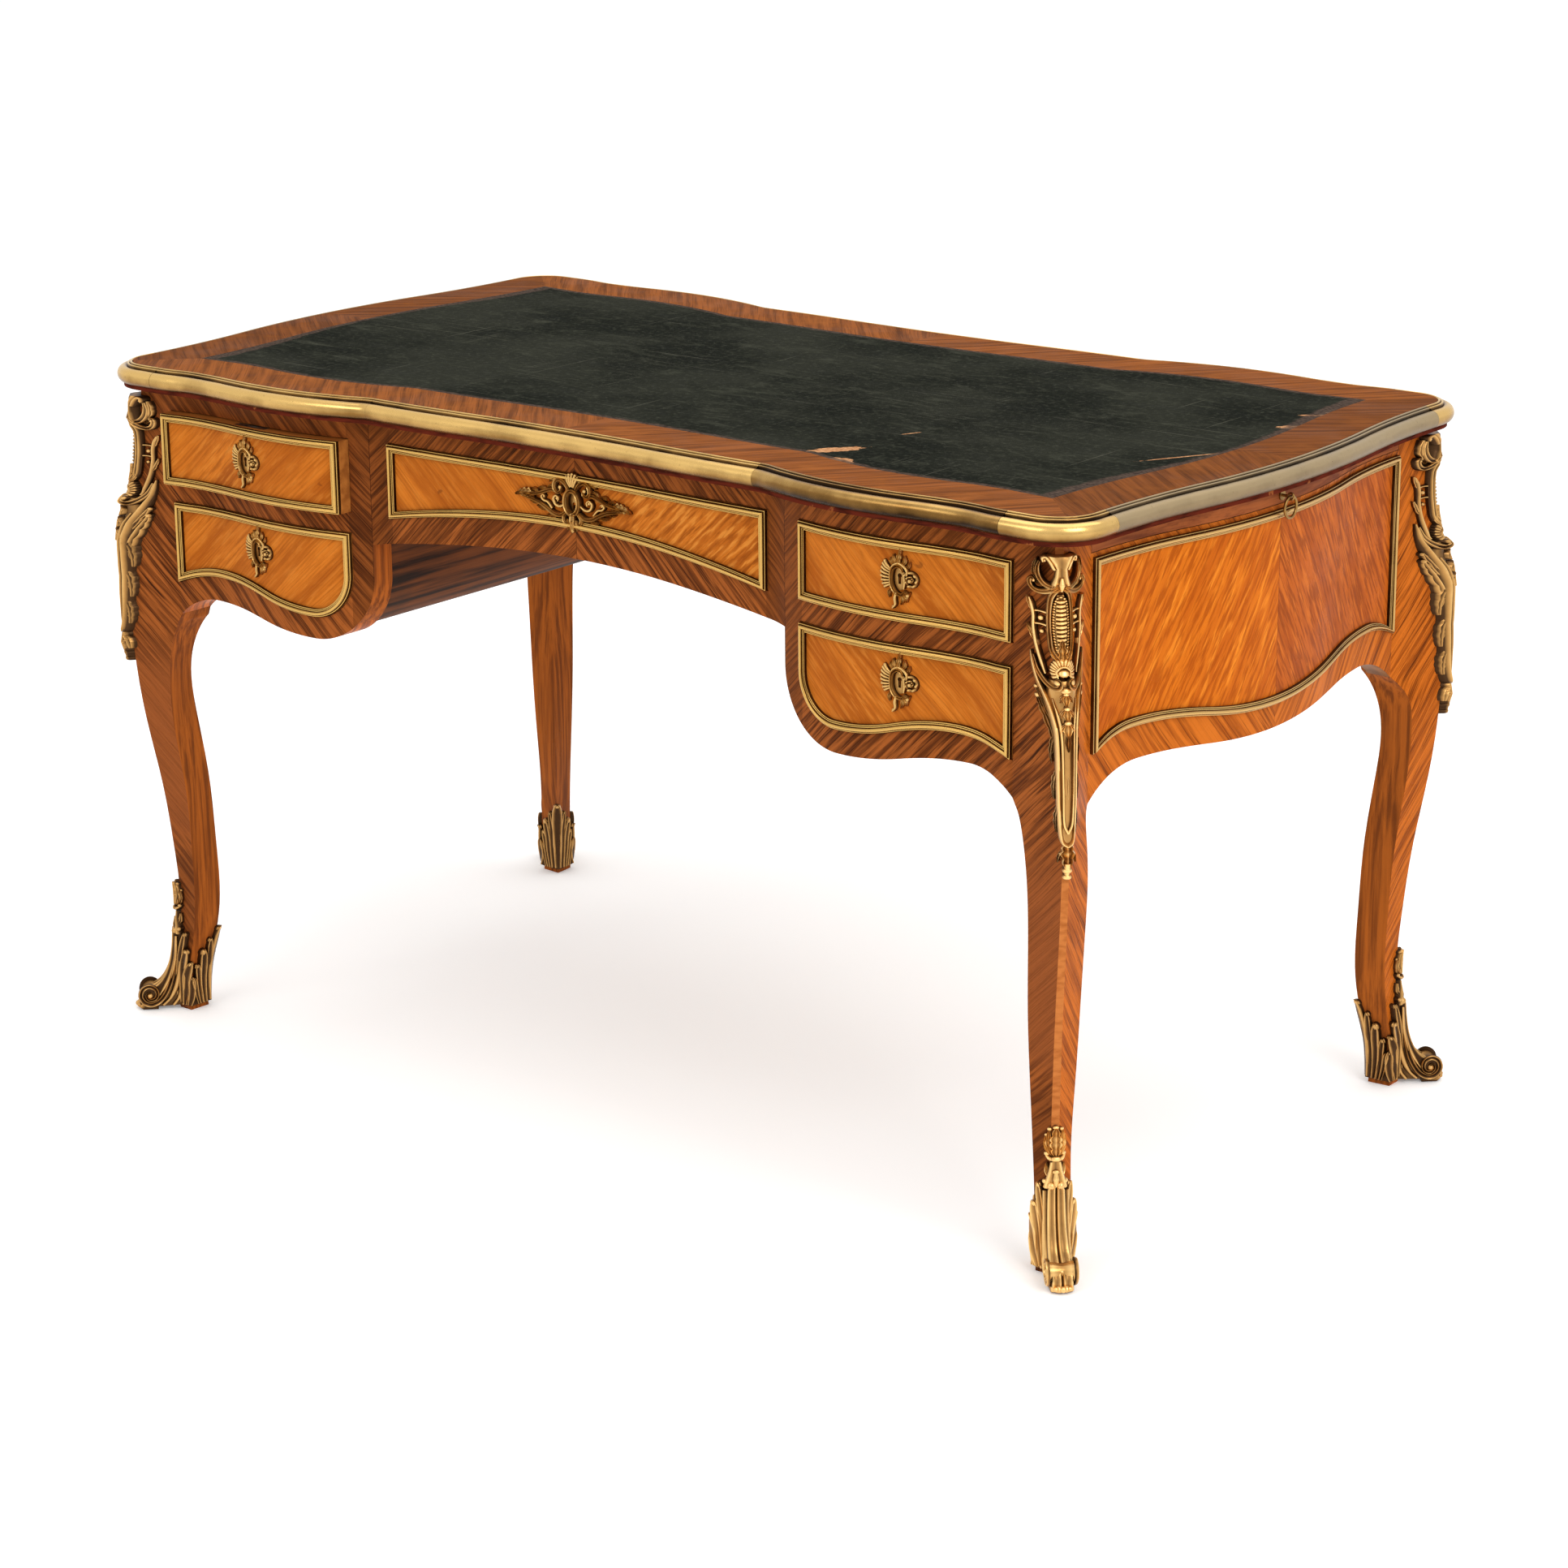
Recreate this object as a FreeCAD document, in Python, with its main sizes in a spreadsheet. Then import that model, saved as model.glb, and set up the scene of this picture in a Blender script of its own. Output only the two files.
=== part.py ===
import FreeCAD, Part
import math
import os
import Sketcher
from FreeCAD import Placement, Rotation, Vector
from types import SimpleNamespace

# Serpentine writing desk. The long side lies along X, the front faces -Y and the origin is
# on the floor under the middle of the top. All sizes are millimetres.
SIZES = {
    # writing top, plan of the board's edge measured from the middle
    "top_height": 780,
    "top_thickness": 27,
    "fillet_height": 10,
    "fillet_reach": 11,
    "top_half_length": 655,
    "side_swell": 23,
    "corner_radius": 40,
    "corner_depth": 57,
    "centre_depth": 329,
    "break_at": 268,
    "break_depth": 336,
    "crest_at": 415,
    "crest_depth": 359,
    "dip_inset": 55,
    "dip_depth": 352,
    "shoulder_inset": 70,
    "shoulder_depth": 357,
    "edge_reach": 18,
    "reed_width": 3.6,
    "reed_step": 1.2,
    "leather_border": 66,
    "leather_thickness": 2,
    # carcass
    "face_inset": 12,
    "wall_setback": 29,
    "side_inset": 22,
    "side_bow": 33,
    "side_thickness": 28,
    "joint_inset": 71,
    "joint_depth": 69,
    "rail_cover": 3,
    "upper_opening": 83,
    "middle_rail": 22,
    "turn_drop": 49,
    "turn_at": 367,
    "turn_radius": 78,
    "apron_rise": 18,
    "knee_run": 56,
    "knee_drop": 23.5,
    "side_rise": 12,
    "side_knee_run": 78,
    "side_knee_drop": 29,
    "arch_drop": 140,
    "arch_rise": 25,
    "wall_thickness": 16,
    "bottom_thickness": 13,
    "runner_width": 26,
    "runner_height": 16,
    "bearer_width": 22,
    # drawers
    "drawer_gap": 1,
    "centre_half_width": 264,
    "drawer_corner": 52,
    "drawer_rise": 21,
    "drawer_fall": 14,
    "drawer_crest": 69,
    "front_thickness": 30,
    "centre_front_thickness": 25,
    "box_depth": 540,
    "box_side": 9,
    "box_bottom": 6,
    "groove_depth": 4,
    "ajar": 14,
    # brass frames and escutcheons
    "frame_width": 9,
    "frame_proud": 7,
    "frame_step": 4,
    "side_frame_inset": 3,
    "side_frame_lift": 26,
    "side_frame_crest": 65,
    "plate_proud": 9,
    "seat_gap": 0.25,
    # locks
    "lock_width": 48,
    "lock_height": 48,
    "lock_thickness": 11,
    "lock_setback": 6,
    "bolt_width": 16,
    "bolt_thickness": 4.5,
    "bolt_length": 24,
    "bolt_throw": 8,
    "key_drop": 35,
    "key_radius": 2.6,
    "running_gap": 0.4,
    # writing slides
    "slide_thickness": 20,
    "slide_gap": 0.7,
    "slide_tail": 8,
    "slide_stop": 4,
    "ring_radius": 11,
    "ring_wire": 1.5,
    "eye_radius": 3.3,
    "eye_wire": 1.1,
    # legs, mounts and feet
    "leg_inset": 21,
    "leg_setback": 22,
    "leg_chamfer": 6,
    "mount_drop": 332,
    "mount_skin": 10,
    "foot_skin": 5,
}

doc = FreeCAD.newDocument("writing_desk")
sheet = doc.addObject("Spreadsheet::Sheet", "sizes")
for row, (alias, number) in enumerate(SIZES.items(), 1):
    sheet.set("A%d" % row, alias)
    sheet.set("B%d" % row, str(number))
    sheet.setAlias("B%d" % row, alias)
doc.recompute()


class Length:
    """A length that carries its value and the sheet expression it comes from."""

    def __init__(self, value, text):
        self.value = value
        self.text = text

    def __add__(self, other):
        other = length(other)
        return Length(self.value + other.value, "(%s + %s)" % (self.text, other.text))

    def __sub__(self, other):
        other = length(other)
        return Length(self.value - other.value, "(%s - %s)" % (self.text, other.text))

    def __mul__(self, other):
        other = length(other)
        return Length(self.value * other.value, "(%s * %s)" % (self.text, other.text))

    def __truediv__(self, other):
        other = length(other)
        return Length(self.value / other.value, "(%s / %s)" % (self.text, other.text))

    def __neg__(self):
        return Length(-self.value, "(0 - %s)" % self.text)


def length(size):
    """A plain number as a Length; a Length stays as it is."""
    if isinstance(size, Length):
        return size
    return Length(float(size), "(%.6f)" % size)


s = SimpleNamespace(**{alias: Length(float(sheet.get(alias)), "sizes." + alias) for alias in SIZES})

# Places along the desk and across it, all measured in from the edge of the top.
shoulder_at = s.top_half_length - s.shoulder_inset
dip_at = shoulder_at - s.dip_inset
corner_return = s.shoulder_depth - s.corner_depth
side_face = s.top_half_length - s.side_inset
side_inner = side_face - s.side_thickness
joint_x = s.top_half_length - s.joint_inset
joint_y = s.shoulder_depth - s.joint_depth
wall_inner = s.centre_depth - s.wall_setback
leg_x = s.top_half_length - s.leg_inset
leg_y = s.shoulder_depth - s.leg_setback
apron_high_at = joint_x - s.knee_run
side_high_at = joint_y - s.side_knee_run
drawer_high_at = joint_x - s.drawer_crest
kneehole_half = s.turn_at - s.turn_radius
wall_in = kneehole_half + 5
wall_out = wall_in + s.wall_thickness
drawer_in = s.turn_at - s.drawer_corner
drawer_out = joint_x - s.drawer_gap
drawer_middle = (drawer_in + drawer_out) / 2
crest_face = s.crest_depth - s.face_inset
centre_face = s.centre_depth - s.face_inset
shoulder_face = s.shoulder_depth - s.face_inset

# Levels from the top down.
carcass_top = s.top_height - s.top_thickness
edge_level = carcass_top + s.fillet_height
edge_height = s.top_thickness - s.fillet_height
slide_top = carcass_top - s.slide_gap
slide_floor = slide_top - s.slide_thickness
panel_top = slide_floor - s.slide_gap
opening_top = carcass_top - s.slide_thickness - s.rail_cover
upper_floor = opening_top - s.upper_opening
lower_top = upper_floor - s.middle_rail
turn_level = lower_top - s.turn_drop
apron_low = turn_level - s.turn_radius
apron_high = apron_low + s.apron_rise
front_knee = apron_high - s.knee_drop
side_high = apron_low + s.side_rise
side_knee = side_high - s.side_knee_drop
arch_end = carcass_top - s.arch_drop

FRONT = Vector(0, -1, 0)
UP = Vector(0, 0, 1)
RIGHT = Vector(1, 0, 0)
PLANES = {
    "XY": (Rotation(), "z"),
    "XZ": (Rotation(RIGHT, 90), "y"),
    "YZ": (Rotation(Vector(1, 1, 1), 120), "x"),
}
pieces = []


def bind(target, path, size):
    """Drive one property of an object from the sheet."""
    target.setExpression(path, length(size).text)


def piece(label, shape):
    """Name a finished piece and keep it for writing."""
    shape.Label = label
    pieces.append(shape)
    return shape


class Outline:
    """A sketch of lines and arcs whose corners and radii are all bound to the sheet."""

    def __init__(self, name, plane, offset=0, body=None):
        turn, axis = PLANES[plane]
        if body is None:
            self.sketch = doc.addObject("Sketcher::SketchObject", name)
            self.sketch.Placement = Placement(Vector(), turn)
            bind(self.sketch, "Placement.Base." + axis, offset)
        else:
            self.sketch = body.newObject("Sketcher::SketchObject", name)
            floor = [f for f in body.Origin.OriginFeatures if f.Role == plane + "_Plane"][0]
            self.sketch.AttachmentSupport = [(floor, "")]
            self.sketch.MapMode = "FlatFace"
            bind(self.sketch, "AttachmentOffset.Base.z", offset)

    def start(self, x, y):
        self.here = (length(x), length(y))
        self.head = None
        self.tail = None
        self.first = self.here
        return self

    def pin(self, index, end, point):
        for kind, size in zip(("DistanceX", "DistanceY"), point):
            rule = Sketcher.Constraint(kind, -1, 1, index, end, size.value)
            number = self.sketch.addConstraint(rule)
            self.sketch.setExpression("Constraints[%d]" % number, size.text)

    def join(self, index, near, far, target):
        if self.tail is None:
            self.head = (index, near)
            self.pin(index, near, self.here)
        else:
            self.sketch.addConstraint(Sketcher.Constraint("Coincident", *self.tail, index, near))
        gap = flat(target) - flat(self.first)
        if gap.Length < 1e-6:
            self.sketch.addConstraint(Sketcher.Constraint("Coincident", index, far, *self.head))
        else:
            self.pin(index, far, target)
        self.tail = (index, far)
        self.here = target
        return self

    def line(self, x, y):
        target = (length(x), length(y))
        index = self.sketch.addGeometry(Part.LineSegment(flat(self.here), flat(target)))
        return self.join(index, 1, 2, target)

    def arc(self, x, y, radius, turn):
        """The short arc to a point, bending left (turn 1) or right (turn -1)."""
        target = (length(x), length(y))
        radius = length(radius)
        begin, end = flat(self.here), flat(target)
        chord = end - begin
        rise = math.sqrt(max(radius.value ** 2 - chord.Length ** 2 / 4, 0))
        left = Vector(-chord.y, chord.x, 0).normalize()
        centre = (begin + end) * 0.5 + left * (rise * turn)
        low, high = (begin, end) if turn > 0 else (end, begin)
        low_angle = math.atan2(low.y - centre.y, low.x - centre.x)
        high_angle = math.atan2(high.y - centre.y, high.x - centre.x)
        if high_angle < low_angle:
            high_angle += 2 * math.pi
        circle = Part.Circle(centre, UP, radius.value)
        index = self.sketch.addGeometry(Part.ArcOfCircle(circle, low_angle, high_angle))
        near, far = (1, 2) if turn > 0 else (2, 1)
        self.join(index, near, far, target)
        number = self.sketch.addConstraint(Sketcher.Constraint("Radius", index, radius.value))
        self.sketch.setExpression("Constraints[%d]" % number, radius.text)
        return self

    def ogee(self, x, y, share=0.5, along="x"):
        """Two arcs in an S to a point; both ends run along the named axis."""
        x, y = length(x), length(y)
        run, rise = x - self.here[0], y - self.here[1]
        step = rise if along == "x" else run
        sign = 1 if step.value > 0 else -1
        whole = (run * run + rise * rise) / (step * (2 * sign))
        turn = 1 if run.value * rise.value > 0 else -1
        turn = turn if along == "x" else -turn
        middle = (self.here[0] + run * share, self.here[1] + rise * share)
        self.arc(*middle, whole * share, turn)
        return self.arc(x, y, whole * (1 - share), -turn)


def flat(point):
    return Vector(point[0].value, point[1].value, 0)


def bend(run, rise):
    """Radius of an arc that starts level and has risen or fallen by some amount after a run."""
    return (run * run + rise * rise) / (rise * 2)


def extrude(outline, direction, amount):
    solid = doc.addObject("Part::Extrusion", outline.sketch.Name + "_solid")
    solid.Base = outline.sketch
    solid.DirMode = "Custom"
    solid.Dir = direction
    solid.Solid = True
    bind(solid, "LengthFwd", amount)
    return solid


def combine(kind, name, base, tool):
    """Part::Cut or Part::Common of two objects."""
    result = doc.addObject("Part::" + kind, name)
    result.Base = base
    result.Tool = tool
    return result


def fuse(name, *shapes):
    result = doc.addObject("Part::MultiFuse", name)
    result.Shapes = list(shapes)
    return result


def group(name, *members):
    """Separate solids kept together as one piece."""
    result = doc.addObject("Part::Compound", name)
    result.Links = list(members)
    return result


def mirror(name, source, normal):
    result = doc.addObject("Part::Mirroring", name)
    result.Source = source
    result.Base = Vector()
    result.Normal = normal
    return result


def box(name, x0, x1, y0, y1, z0, z1):
    """A board between the given faces."""
    solid = doc.addObject("Part::Box", name)
    for side, axis, low, high in (("Length", "x", x0, x1), ("Width", "y", y0, y1), ("Height", "z", z0, z1)):
        bind(solid, side, length(high) - low)
        bind(solid, "Placement.Base." + axis, low)
    return solid


# Plan of the top: half of the serpentine front from the middle to the corner, as the place
# along the front, the depth there and how the S before it is shared between its two arcs.
HALF_FRONT = (
    (length(0), s.centre_depth, 0.5),
    (s.break_at, s.break_depth, 0.5),
    (s.crest_at, s.crest_depth, 0.114),
    (dip_at, s.dip_depth, 0.5),
    (shoulder_at, s.shoulder_depth, 0.5),
)


def follow_front(outline, inset, way):
    """Run along the whole front (way 1) or, turned half round, along the back (way -1)."""
    for index in range(len(HALF_FRONT) - 1, 0, -1):
        x, depth, share = HALF_FRONT[index - 1]
        outline.ogee(x * -way, (depth - inset) * -way, 1 - HALF_FRONT[index][2])
    for x, depth, share in HALF_FRONT[1:]:
        outline.ogee(x * way, (depth - inset) * -way, share)


def follow_side(outline, face, bow, half, way):
    """Run along the right side (way 1) or the left side (way -1)."""
    outline.ogee((face + bow) * way, 0, 0.5, "y")
    outline.ogee(face * way, half * way, 0.5, "y")


def top_outline(name, inset, offset, body, rounded=True):
    """The whole plan of the top, drawn in from the board's edge by an inset."""
    outline = Outline(name, "XY", offset, body)
    inset = length(inset)
    face = s.top_half_length - inset
    depth = s.shoulder_depth - inset
    radius = s.corner_radius - inset
    outline.start(-shoulder_at, -depth)
    for way in (1, -1):
        follow_front(outline, inset, way)
        if rounded:
            outline.line((face - radius) * way, depth * -way)
            outline.arc(face * way, (depth - radius) * -way, radius, 1)
        else:
            outline.line(face * way, depth * -way)
        outline.line(face * way, corner_return * -way)
        follow_side(outline, face, s.side_swell, corner_return, way)
        if rounded:
            outline.line(face * way, (depth - radius) * way)
            outline.arc((face - radius) * way, depth * way, radius, 1)
        else:
            outline.line(face * way, depth * way)
        outline.line(shoulder_at * way, depth * way)
    return outline


def leather_outline(name, offset, body=None):
    """The leather keeps an even wooden border, with square corners at the four ends."""
    outline = Outline(name, "XY", offset, body)
    inset = s.leather_border
    face = s.top_half_length - inset
    depth = s.shoulder_depth - inset
    outline.start(-face, -depth)
    for way in (1, -1):
        for index in range(len(HALF_FRONT) - 1, 0, -1):
            x, reach, share = HALF_FRONT[index - 1]
            if index == len(HALF_FRONT) - 1:
                outline.line(-x * way, (reach - inset) * -way)
            else:
                outline.ogee(x * -way, (reach - inset) * -way, 1 - HALF_FRONT[index][2])
        for x, reach, share in HALF_FRONT[1:-1]:
            outline.ogee(x * way, (reach - inset) * -way, share)
        outline.line(face * way, depth * -way)
        follow_side(outline, face, s.side_swell, depth, way)
    return outline


# Top board: a lower plate that shows as a fillet, the upper plate inside the brass, and the
# shallow recess for the leather.
board = doc.addObject("PartDesign::Body", "board")
plates = (
    ("fillet_plate", -s.fillet_reach, carcass_top, s.fillet_height),
    ("upper_plate", length(0), edge_level, edge_height),
)
for name, inset, level, thickness in plates:
    plan = top_outline(name + "_plan", inset, level, board)
    pad = board.newObject("PartDesign::Pad", name)
    pad.Profile = plan.sketch
    bind(pad, "Length", thickness)
recess_plan = leather_outline("leather_recess_plan", s.top_height, board)
recess = board.newObject("PartDesign::Pocket", "leather_recess")
recess.Profile = recess_plan.sketch
bind(recess, "Length", s.leather_thickness)
piece("top_board", board)

leather_plan = leather_outline("leather_plan", s.top_height - s.leather_thickness)
piece("top_leather", extrude(leather_plan, UP, s.leather_thickness))


def edge_section(name, plane, offset, across, out):
    """Brass section: two stepped reeds inside a heavy half round."""
    base = edge_level
    head = base + edge_height
    bead = (edge_height - s.reed_step * 2) / 2
    heart = s.edge_reach - bead
    section = Outline(name, plane, offset)
    turn = -1 if out > 0 else 1
    section.start(across, base)
    section.line(across, head)
    section.line(across + s.reed_width * out, head)
    section.line(across + s.reed_width * out, head - s.reed_step)
    section.line(across + s.reed_width * (2 * out), head - s.reed_step)
    section.line(across + s.reed_width * (2 * out), head - s.reed_step * 2)
    section.line(across + heart * out, head - s.reed_step * 2)
    section.arc(across + s.edge_reach * out, base + bead, bead, turn)
    section.arc(across + heart * out, base, bead, turn)
    section.line(across, base)
    return section


def edge_length(name, path, section):
    """A length of brass edge swept along its path."""
    sweep = doc.addObject("Part::Sweep", name)
    sweep.Sections = [section.sketch]
    edges = ["Edge%d" % (n + 1) for n in range(path.sketch.GeometryCount)]
    sweep.Spine = (path.sketch, edges)
    sweep.Solid = True
    return sweep


centre_path = Outline("edge_centre_path", "XY", edge_level)
centre_path.start(-s.break_at, -s.break_depth)
centre_path.ogee(0, -s.centre_depth).ogee(s.break_at, -s.break_depth)
centre_section = edge_section("edge_centre_section", "YZ", -s.break_at, -s.break_depth, -1)
edge_centre = edge_length("edge_centre", centre_path, centre_section)

wing_path = Outline("edge_wing_path", "XY", edge_level).start(s.break_at, -s.break_depth)
for x, depth, share in HALF_FRONT[2:]:
    wing_path.ogee(x, -depth, share)
wing_section = edge_section("edge_wing_section", "YZ", s.break_at, -s.break_depth, -1)
edge_wing = edge_length("edge_wing", wing_path, wing_section)

corner_path = Outline("edge_corner_path", "XY", edge_level).start(shoulder_at, -s.shoulder_depth)
corner_path.line(s.top_half_length - s.corner_radius, -s.shoulder_depth)
corner_path.arc(s.top_half_length, s.corner_radius - s.shoulder_depth, s.corner_radius, 1)
corner_path.line(s.top_half_length, -corner_return)
corner_section = edge_section("edge_corner_section", "YZ", shoulder_at, -s.shoulder_depth, -1)
edge_corner = edge_length("edge_corner", corner_path, corner_section)

side_path = Outline("edge_side_path", "XY", edge_level).start(s.top_half_length, -corner_return)
follow_side(side_path, s.top_half_length, s.side_swell, corner_return, 1)
side_section = edge_section("edge_side_section", "XZ", -corner_return, s.top_half_length, 1)
edge_side = edge_length("edge_side", side_path, side_section)

edge_wing_left = mirror("edge_wing_left", edge_wing, RIGHT)
front_edge = piece("edge_front", group("front_edge", edge_centre, edge_wing, edge_wing_left))
piece("edge_back", mirror("back_edge", front_edge, FRONT))
side_edges = group("side_edges", edge_side, mirror("edge_side_left", edge_side, RIGHT))
piece("edge_sides", side_edges)
corner_pair = group("corner_pair", edge_corner, mirror("edge_corner_left", edge_corner, RIGHT))
piece("edge_corners", group("corner_edges", corner_pair, mirror("back_corner_pair", corner_pair, FRONT)))


# Blocks from which the curved walls are sawn: the plan of the face, as tall as the carcass.
def front_block(name, proud):
    """All that lies behind the serpentine face, the face brought forward by some amount."""
    inset = s.face_inset - proud
    deep = wall_inner / 2
    plan = Outline(name, "XY", side_knee - 20)
    plan.start(-shoulder_at, -deep)
    plan.line(-shoulder_at, inset - s.shoulder_depth)
    follow_front(plan, inset, 1)
    plan.line(shoulder_at, -deep)
    plan.line(-shoulder_at, -deep)
    return extrude(plan, UP, carcass_top - side_knee + 20)


def side_block(name, proud):
    """All that lies behind the bowed right-hand side."""
    face = side_face + proud
    plan = Outline(name, "XY", side_knee - 20)
    plan.start(wall_inner / 2, -joint_y)
    plan.line(face, -joint_y)
    follow_side(plan, face, s.side_bow, joint_y, 1)
    plan.line(wall_inner / 2, joint_y)
    plan.line(wall_inner / 2, -joint_y)
    return extrude(plan, UP, carcass_top - side_knee + 20)


front_wood = front_block("front_wood_plan", length(0))
front_seat = front_block("front_seat_plan", s.seat_gap)
front_skins = {}
for name, proud in (("low", s.frame_step), ("high", s.frame_proud), ("over", s.plate_proud)):
    skin_block = front_block("front_" + name, proud)
    front_skins[name] = combine("Cut", "front_skin_" + name, skin_block, front_seat)
side_wood = side_block("side_wood_plan", length(0))
side_seat = side_block("side_seat_plan", s.seat_gap)
side_skins = {}
for name, proud in (("low", s.frame_step), ("high", s.frame_proud)):
    side_skins[name] = combine("Cut", "side_skin_" + name, side_block("side_" + name, proud), side_seat)

reach = wall_inner / 2


def saw_front(name, outline):
    """A front piece: its elevation carried forward and cut to the serpentine face."""
    return combine("Common", name, front_wood, extrude(outline, FRONT, reach))


def rectangle(outline, x0, x1, z0, z1):
    outline.start(x0, z0).line(x1, z0).line(x1, z1).line(x0, z1).line(x0, z0)
    return outline


def lower_drawer(outline, inset):
    """Elevation of the shaped lower drawer, drawn in from its edge by an inset."""
    inset = length(inset)
    radius = s.drawer_corner - inset
    top = lower_top - s.drawer_gap - inset
    outline.start(s.turn_at - radius, top)
    lower_edge(outline, radius, drawer_out - inset)
    outline.line(drawer_out - inset, top)
    outline.line(s.turn_at - radius, top)
    return outline


def lower_edge(outline, radius, far):
    """Rounded corner, low point, rise and fall of the lower drawer's bottom edge."""
    low = turn_level - radius
    high = low + s.drawer_rise
    run = drawer_out - drawer_high_at
    outline.line(s.turn_at - radius, turn_level)
    outline.arc(s.turn_at, low, radius, 1)
    outline.ogee(drawer_high_at, high)
    reach_out = far - drawer_high_at
    fall = s.drawer_fall * reach_out * reach_out / (run * run)
    outline.arc(far, high - fall, bend(reach_out, fall), -1)


def centre_drawer(outline, inset):
    """Elevation of the centre drawer with its arched bottom edge."""
    inset = length(inset)
    half = s.centre_half_width - inset
    end = upper_floor - s.drawer_gap + inset
    bow = bend(half, s.arch_rise)
    outline.start(-half, end)
    outline.arc(0, end + s.arch_rise, bow, -1)
    outline.arc(half, end, bow, -1)
    outline.line(half, opening_top - s.drawer_gap - inset)
    outline.line(-half, opening_top - s.drawer_gap - inset)
    outline.line(-half, end)
    return outline


def upper_drawer(outline, inset):
    inset = length(inset)
    low = upper_floor + s.drawer_gap + inset
    top = opening_top - s.drawer_gap - inset
    return rectangle(outline, drawer_in + inset, drawer_out - inset, low, top)


# Front framing, the right-hand pieces first.
inner = -wall_inner
rail_face = rectangle(Outline("top_rail_face", "XZ", inner), -joint_x, joint_x, opening_top, carcass_top)
rail = saw_front("top_rail", rail_face)

stile_edge = s.centre_half_width + s.drawer_gap
stile_in = drawer_in - s.drawer_gap
seat = upper_floor - s.drawer_gap * 2
stile_face = Outline("stile_face", "XZ", inner).start(stile_edge, seat)
stile_face.line(kneehole_half, seat).line(kneehole_half, turn_level).line(stile_in, turn_level)
stile_face.line(stile_in, opening_top).line(stile_edge, opening_top).line(stile_edge, seat)
stile = saw_front("stile", stile_face)
piece("front_stiles", group("stiles", stile, mirror("stile_left", stile, RIGHT)))

half = kneehole_half
bow = bend(half, s.arch_rise)
drawer_bow = bend(stile_edge, s.arch_rise)
apron_face = Outline("centre_apron_face", "XZ", inner).start(-half, arch_end)
apron_face.arc(0, arch_end + s.arch_rise, bow, -1)
apron_face.arc(half, arch_end, bow, -1)
apron_face.line(half, seat).line(stile_edge, seat)
apron_face.arc(0, seat + s.arch_rise, drawer_bow, 1)
apron_face.arc(-stile_edge, seat, drawer_bow, 1)
apron_face.line(-half, seat).line(-half, arch_end)
piece("centre_apron", saw_front("centre_apron_wood", apron_face))


def pedestal_edge(outline):
    """Lower edge of a pedestal from the kneehole to the knee of the leg."""
    outline.line(kneehole_half, turn_level)
    outline.arc(s.turn_at, apron_low, s.turn_radius, 1)
    outline.ogee(apron_high_at, apron_high)
    outline.arc(joint_x, front_knee, bend(s.knee_run, s.knee_drop), -1)


pedestal_face = Outline("pedestal_apron_face", "XZ", inner).start(stile_in, turn_level)
pedestal_edge(pedestal_face)
opening_corner = s.drawer_corner + s.drawer_gap
opening_low = turn_level - opening_corner
opening_high = opening_low + s.drawer_rise
run = drawer_out - drawer_high_at
span = joint_x - drawer_high_at
fall = s.drawer_fall * span * span / (run * run)
pedestal_face.line(joint_x, opening_high - fall)
pedestal_face.arc(drawer_high_at, opening_high, bend(span, fall), 1)
pedestal_face.ogee(s.turn_at, opening_low)
pedestal_face.arc(stile_in, turn_level, opening_corner, -1)
apron = piece("pedestal_apron_right", saw_front("pedestal_apron", pedestal_face))
piece("pedestal_apron_left", mirror("pedestal_apron_l", apron, RIGHT))

middle_face = rectangle(Outline("middle_rail_face", "XZ", inner), stile_in, joint_x, lower_top, upper_floor)
middle_rail = saw_front("middle_rail_wood", middle_face)

# Back panels: full-height boards with the same serpentine face and lower edge as the front.
pedestal_back = Outline("pedestal_back_face", "XZ", inner).start(kneehole_half, carcass_top)
pedestal_edge(pedestal_back)
pedestal_back.line(joint_x, carcass_top).line(kneehole_half, carcass_top)
back_right = saw_front("back_right", pedestal_back)
centre_back = Outline("centre_back_face", "XZ", inner).start(-half, arch_end)
centre_back.arc(0, arch_end + s.arch_rise, bow, -1).arc(half, arch_end, bow, -1)
centre_back.line(half, carcass_top).line(-half, carcass_top).line(-half, arch_end)
back_centre = saw_front("back_centre", centre_back)
backs = group("backs", back_right, back_centre, mirror("back_left", back_right, RIGHT))
piece("back_panels", mirror("back_boards", backs, FRONT))

# Side panels.
side_bend = bend(s.side_knee_run, s.side_knee_drop)
panel_face = Outline("side_panel_face", "YZ", side_inner).start(-joint_y, panel_top)
panel_face.line(-joint_y, side_knee)
panel_face.arc(-side_high_at, side_high, side_bend, -1)
panel_face.ogee(0, apron_low).ogee(side_high_at, side_high)
panel_face.arc(joint_y, side_knee, side_bend, -1)
panel_face.line(joint_y, panel_top).line(-joint_y, panel_top)
side_panel = combine("Common", "side_panel", side_wood, extrude(panel_face, RIGHT, reach))
piece("side_panel_right", side_panel)
piece("side_panel_left", mirror("side_panel_l", side_panel, RIGHT))


def side_loop(outline, inset):
    """Elevation of the brass frame on a side, drawn in from its edge by an inset."""
    inset = length(inset)
    side = joint_y - s.side_frame_inset - inset
    top = opening_top - s.side_frame_inset - inset
    low = apron_low + s.side_frame_lift + inset
    high = low + s.drawer_rise
    crest = joint_y - s.side_frame_crest
    radius = bend(side - crest, s.drawer_fall)
    outline.start(-side, top).line(-side, high - s.drawer_fall)
    outline.arc(-crest, high, radius, -1)
    outline.ogee(0, low).ogee(crest, high)
    outline.arc(side, high - s.drawer_fall, radius, -1)
    outline.line(side, top).line(-side, top)
    return outline


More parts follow.
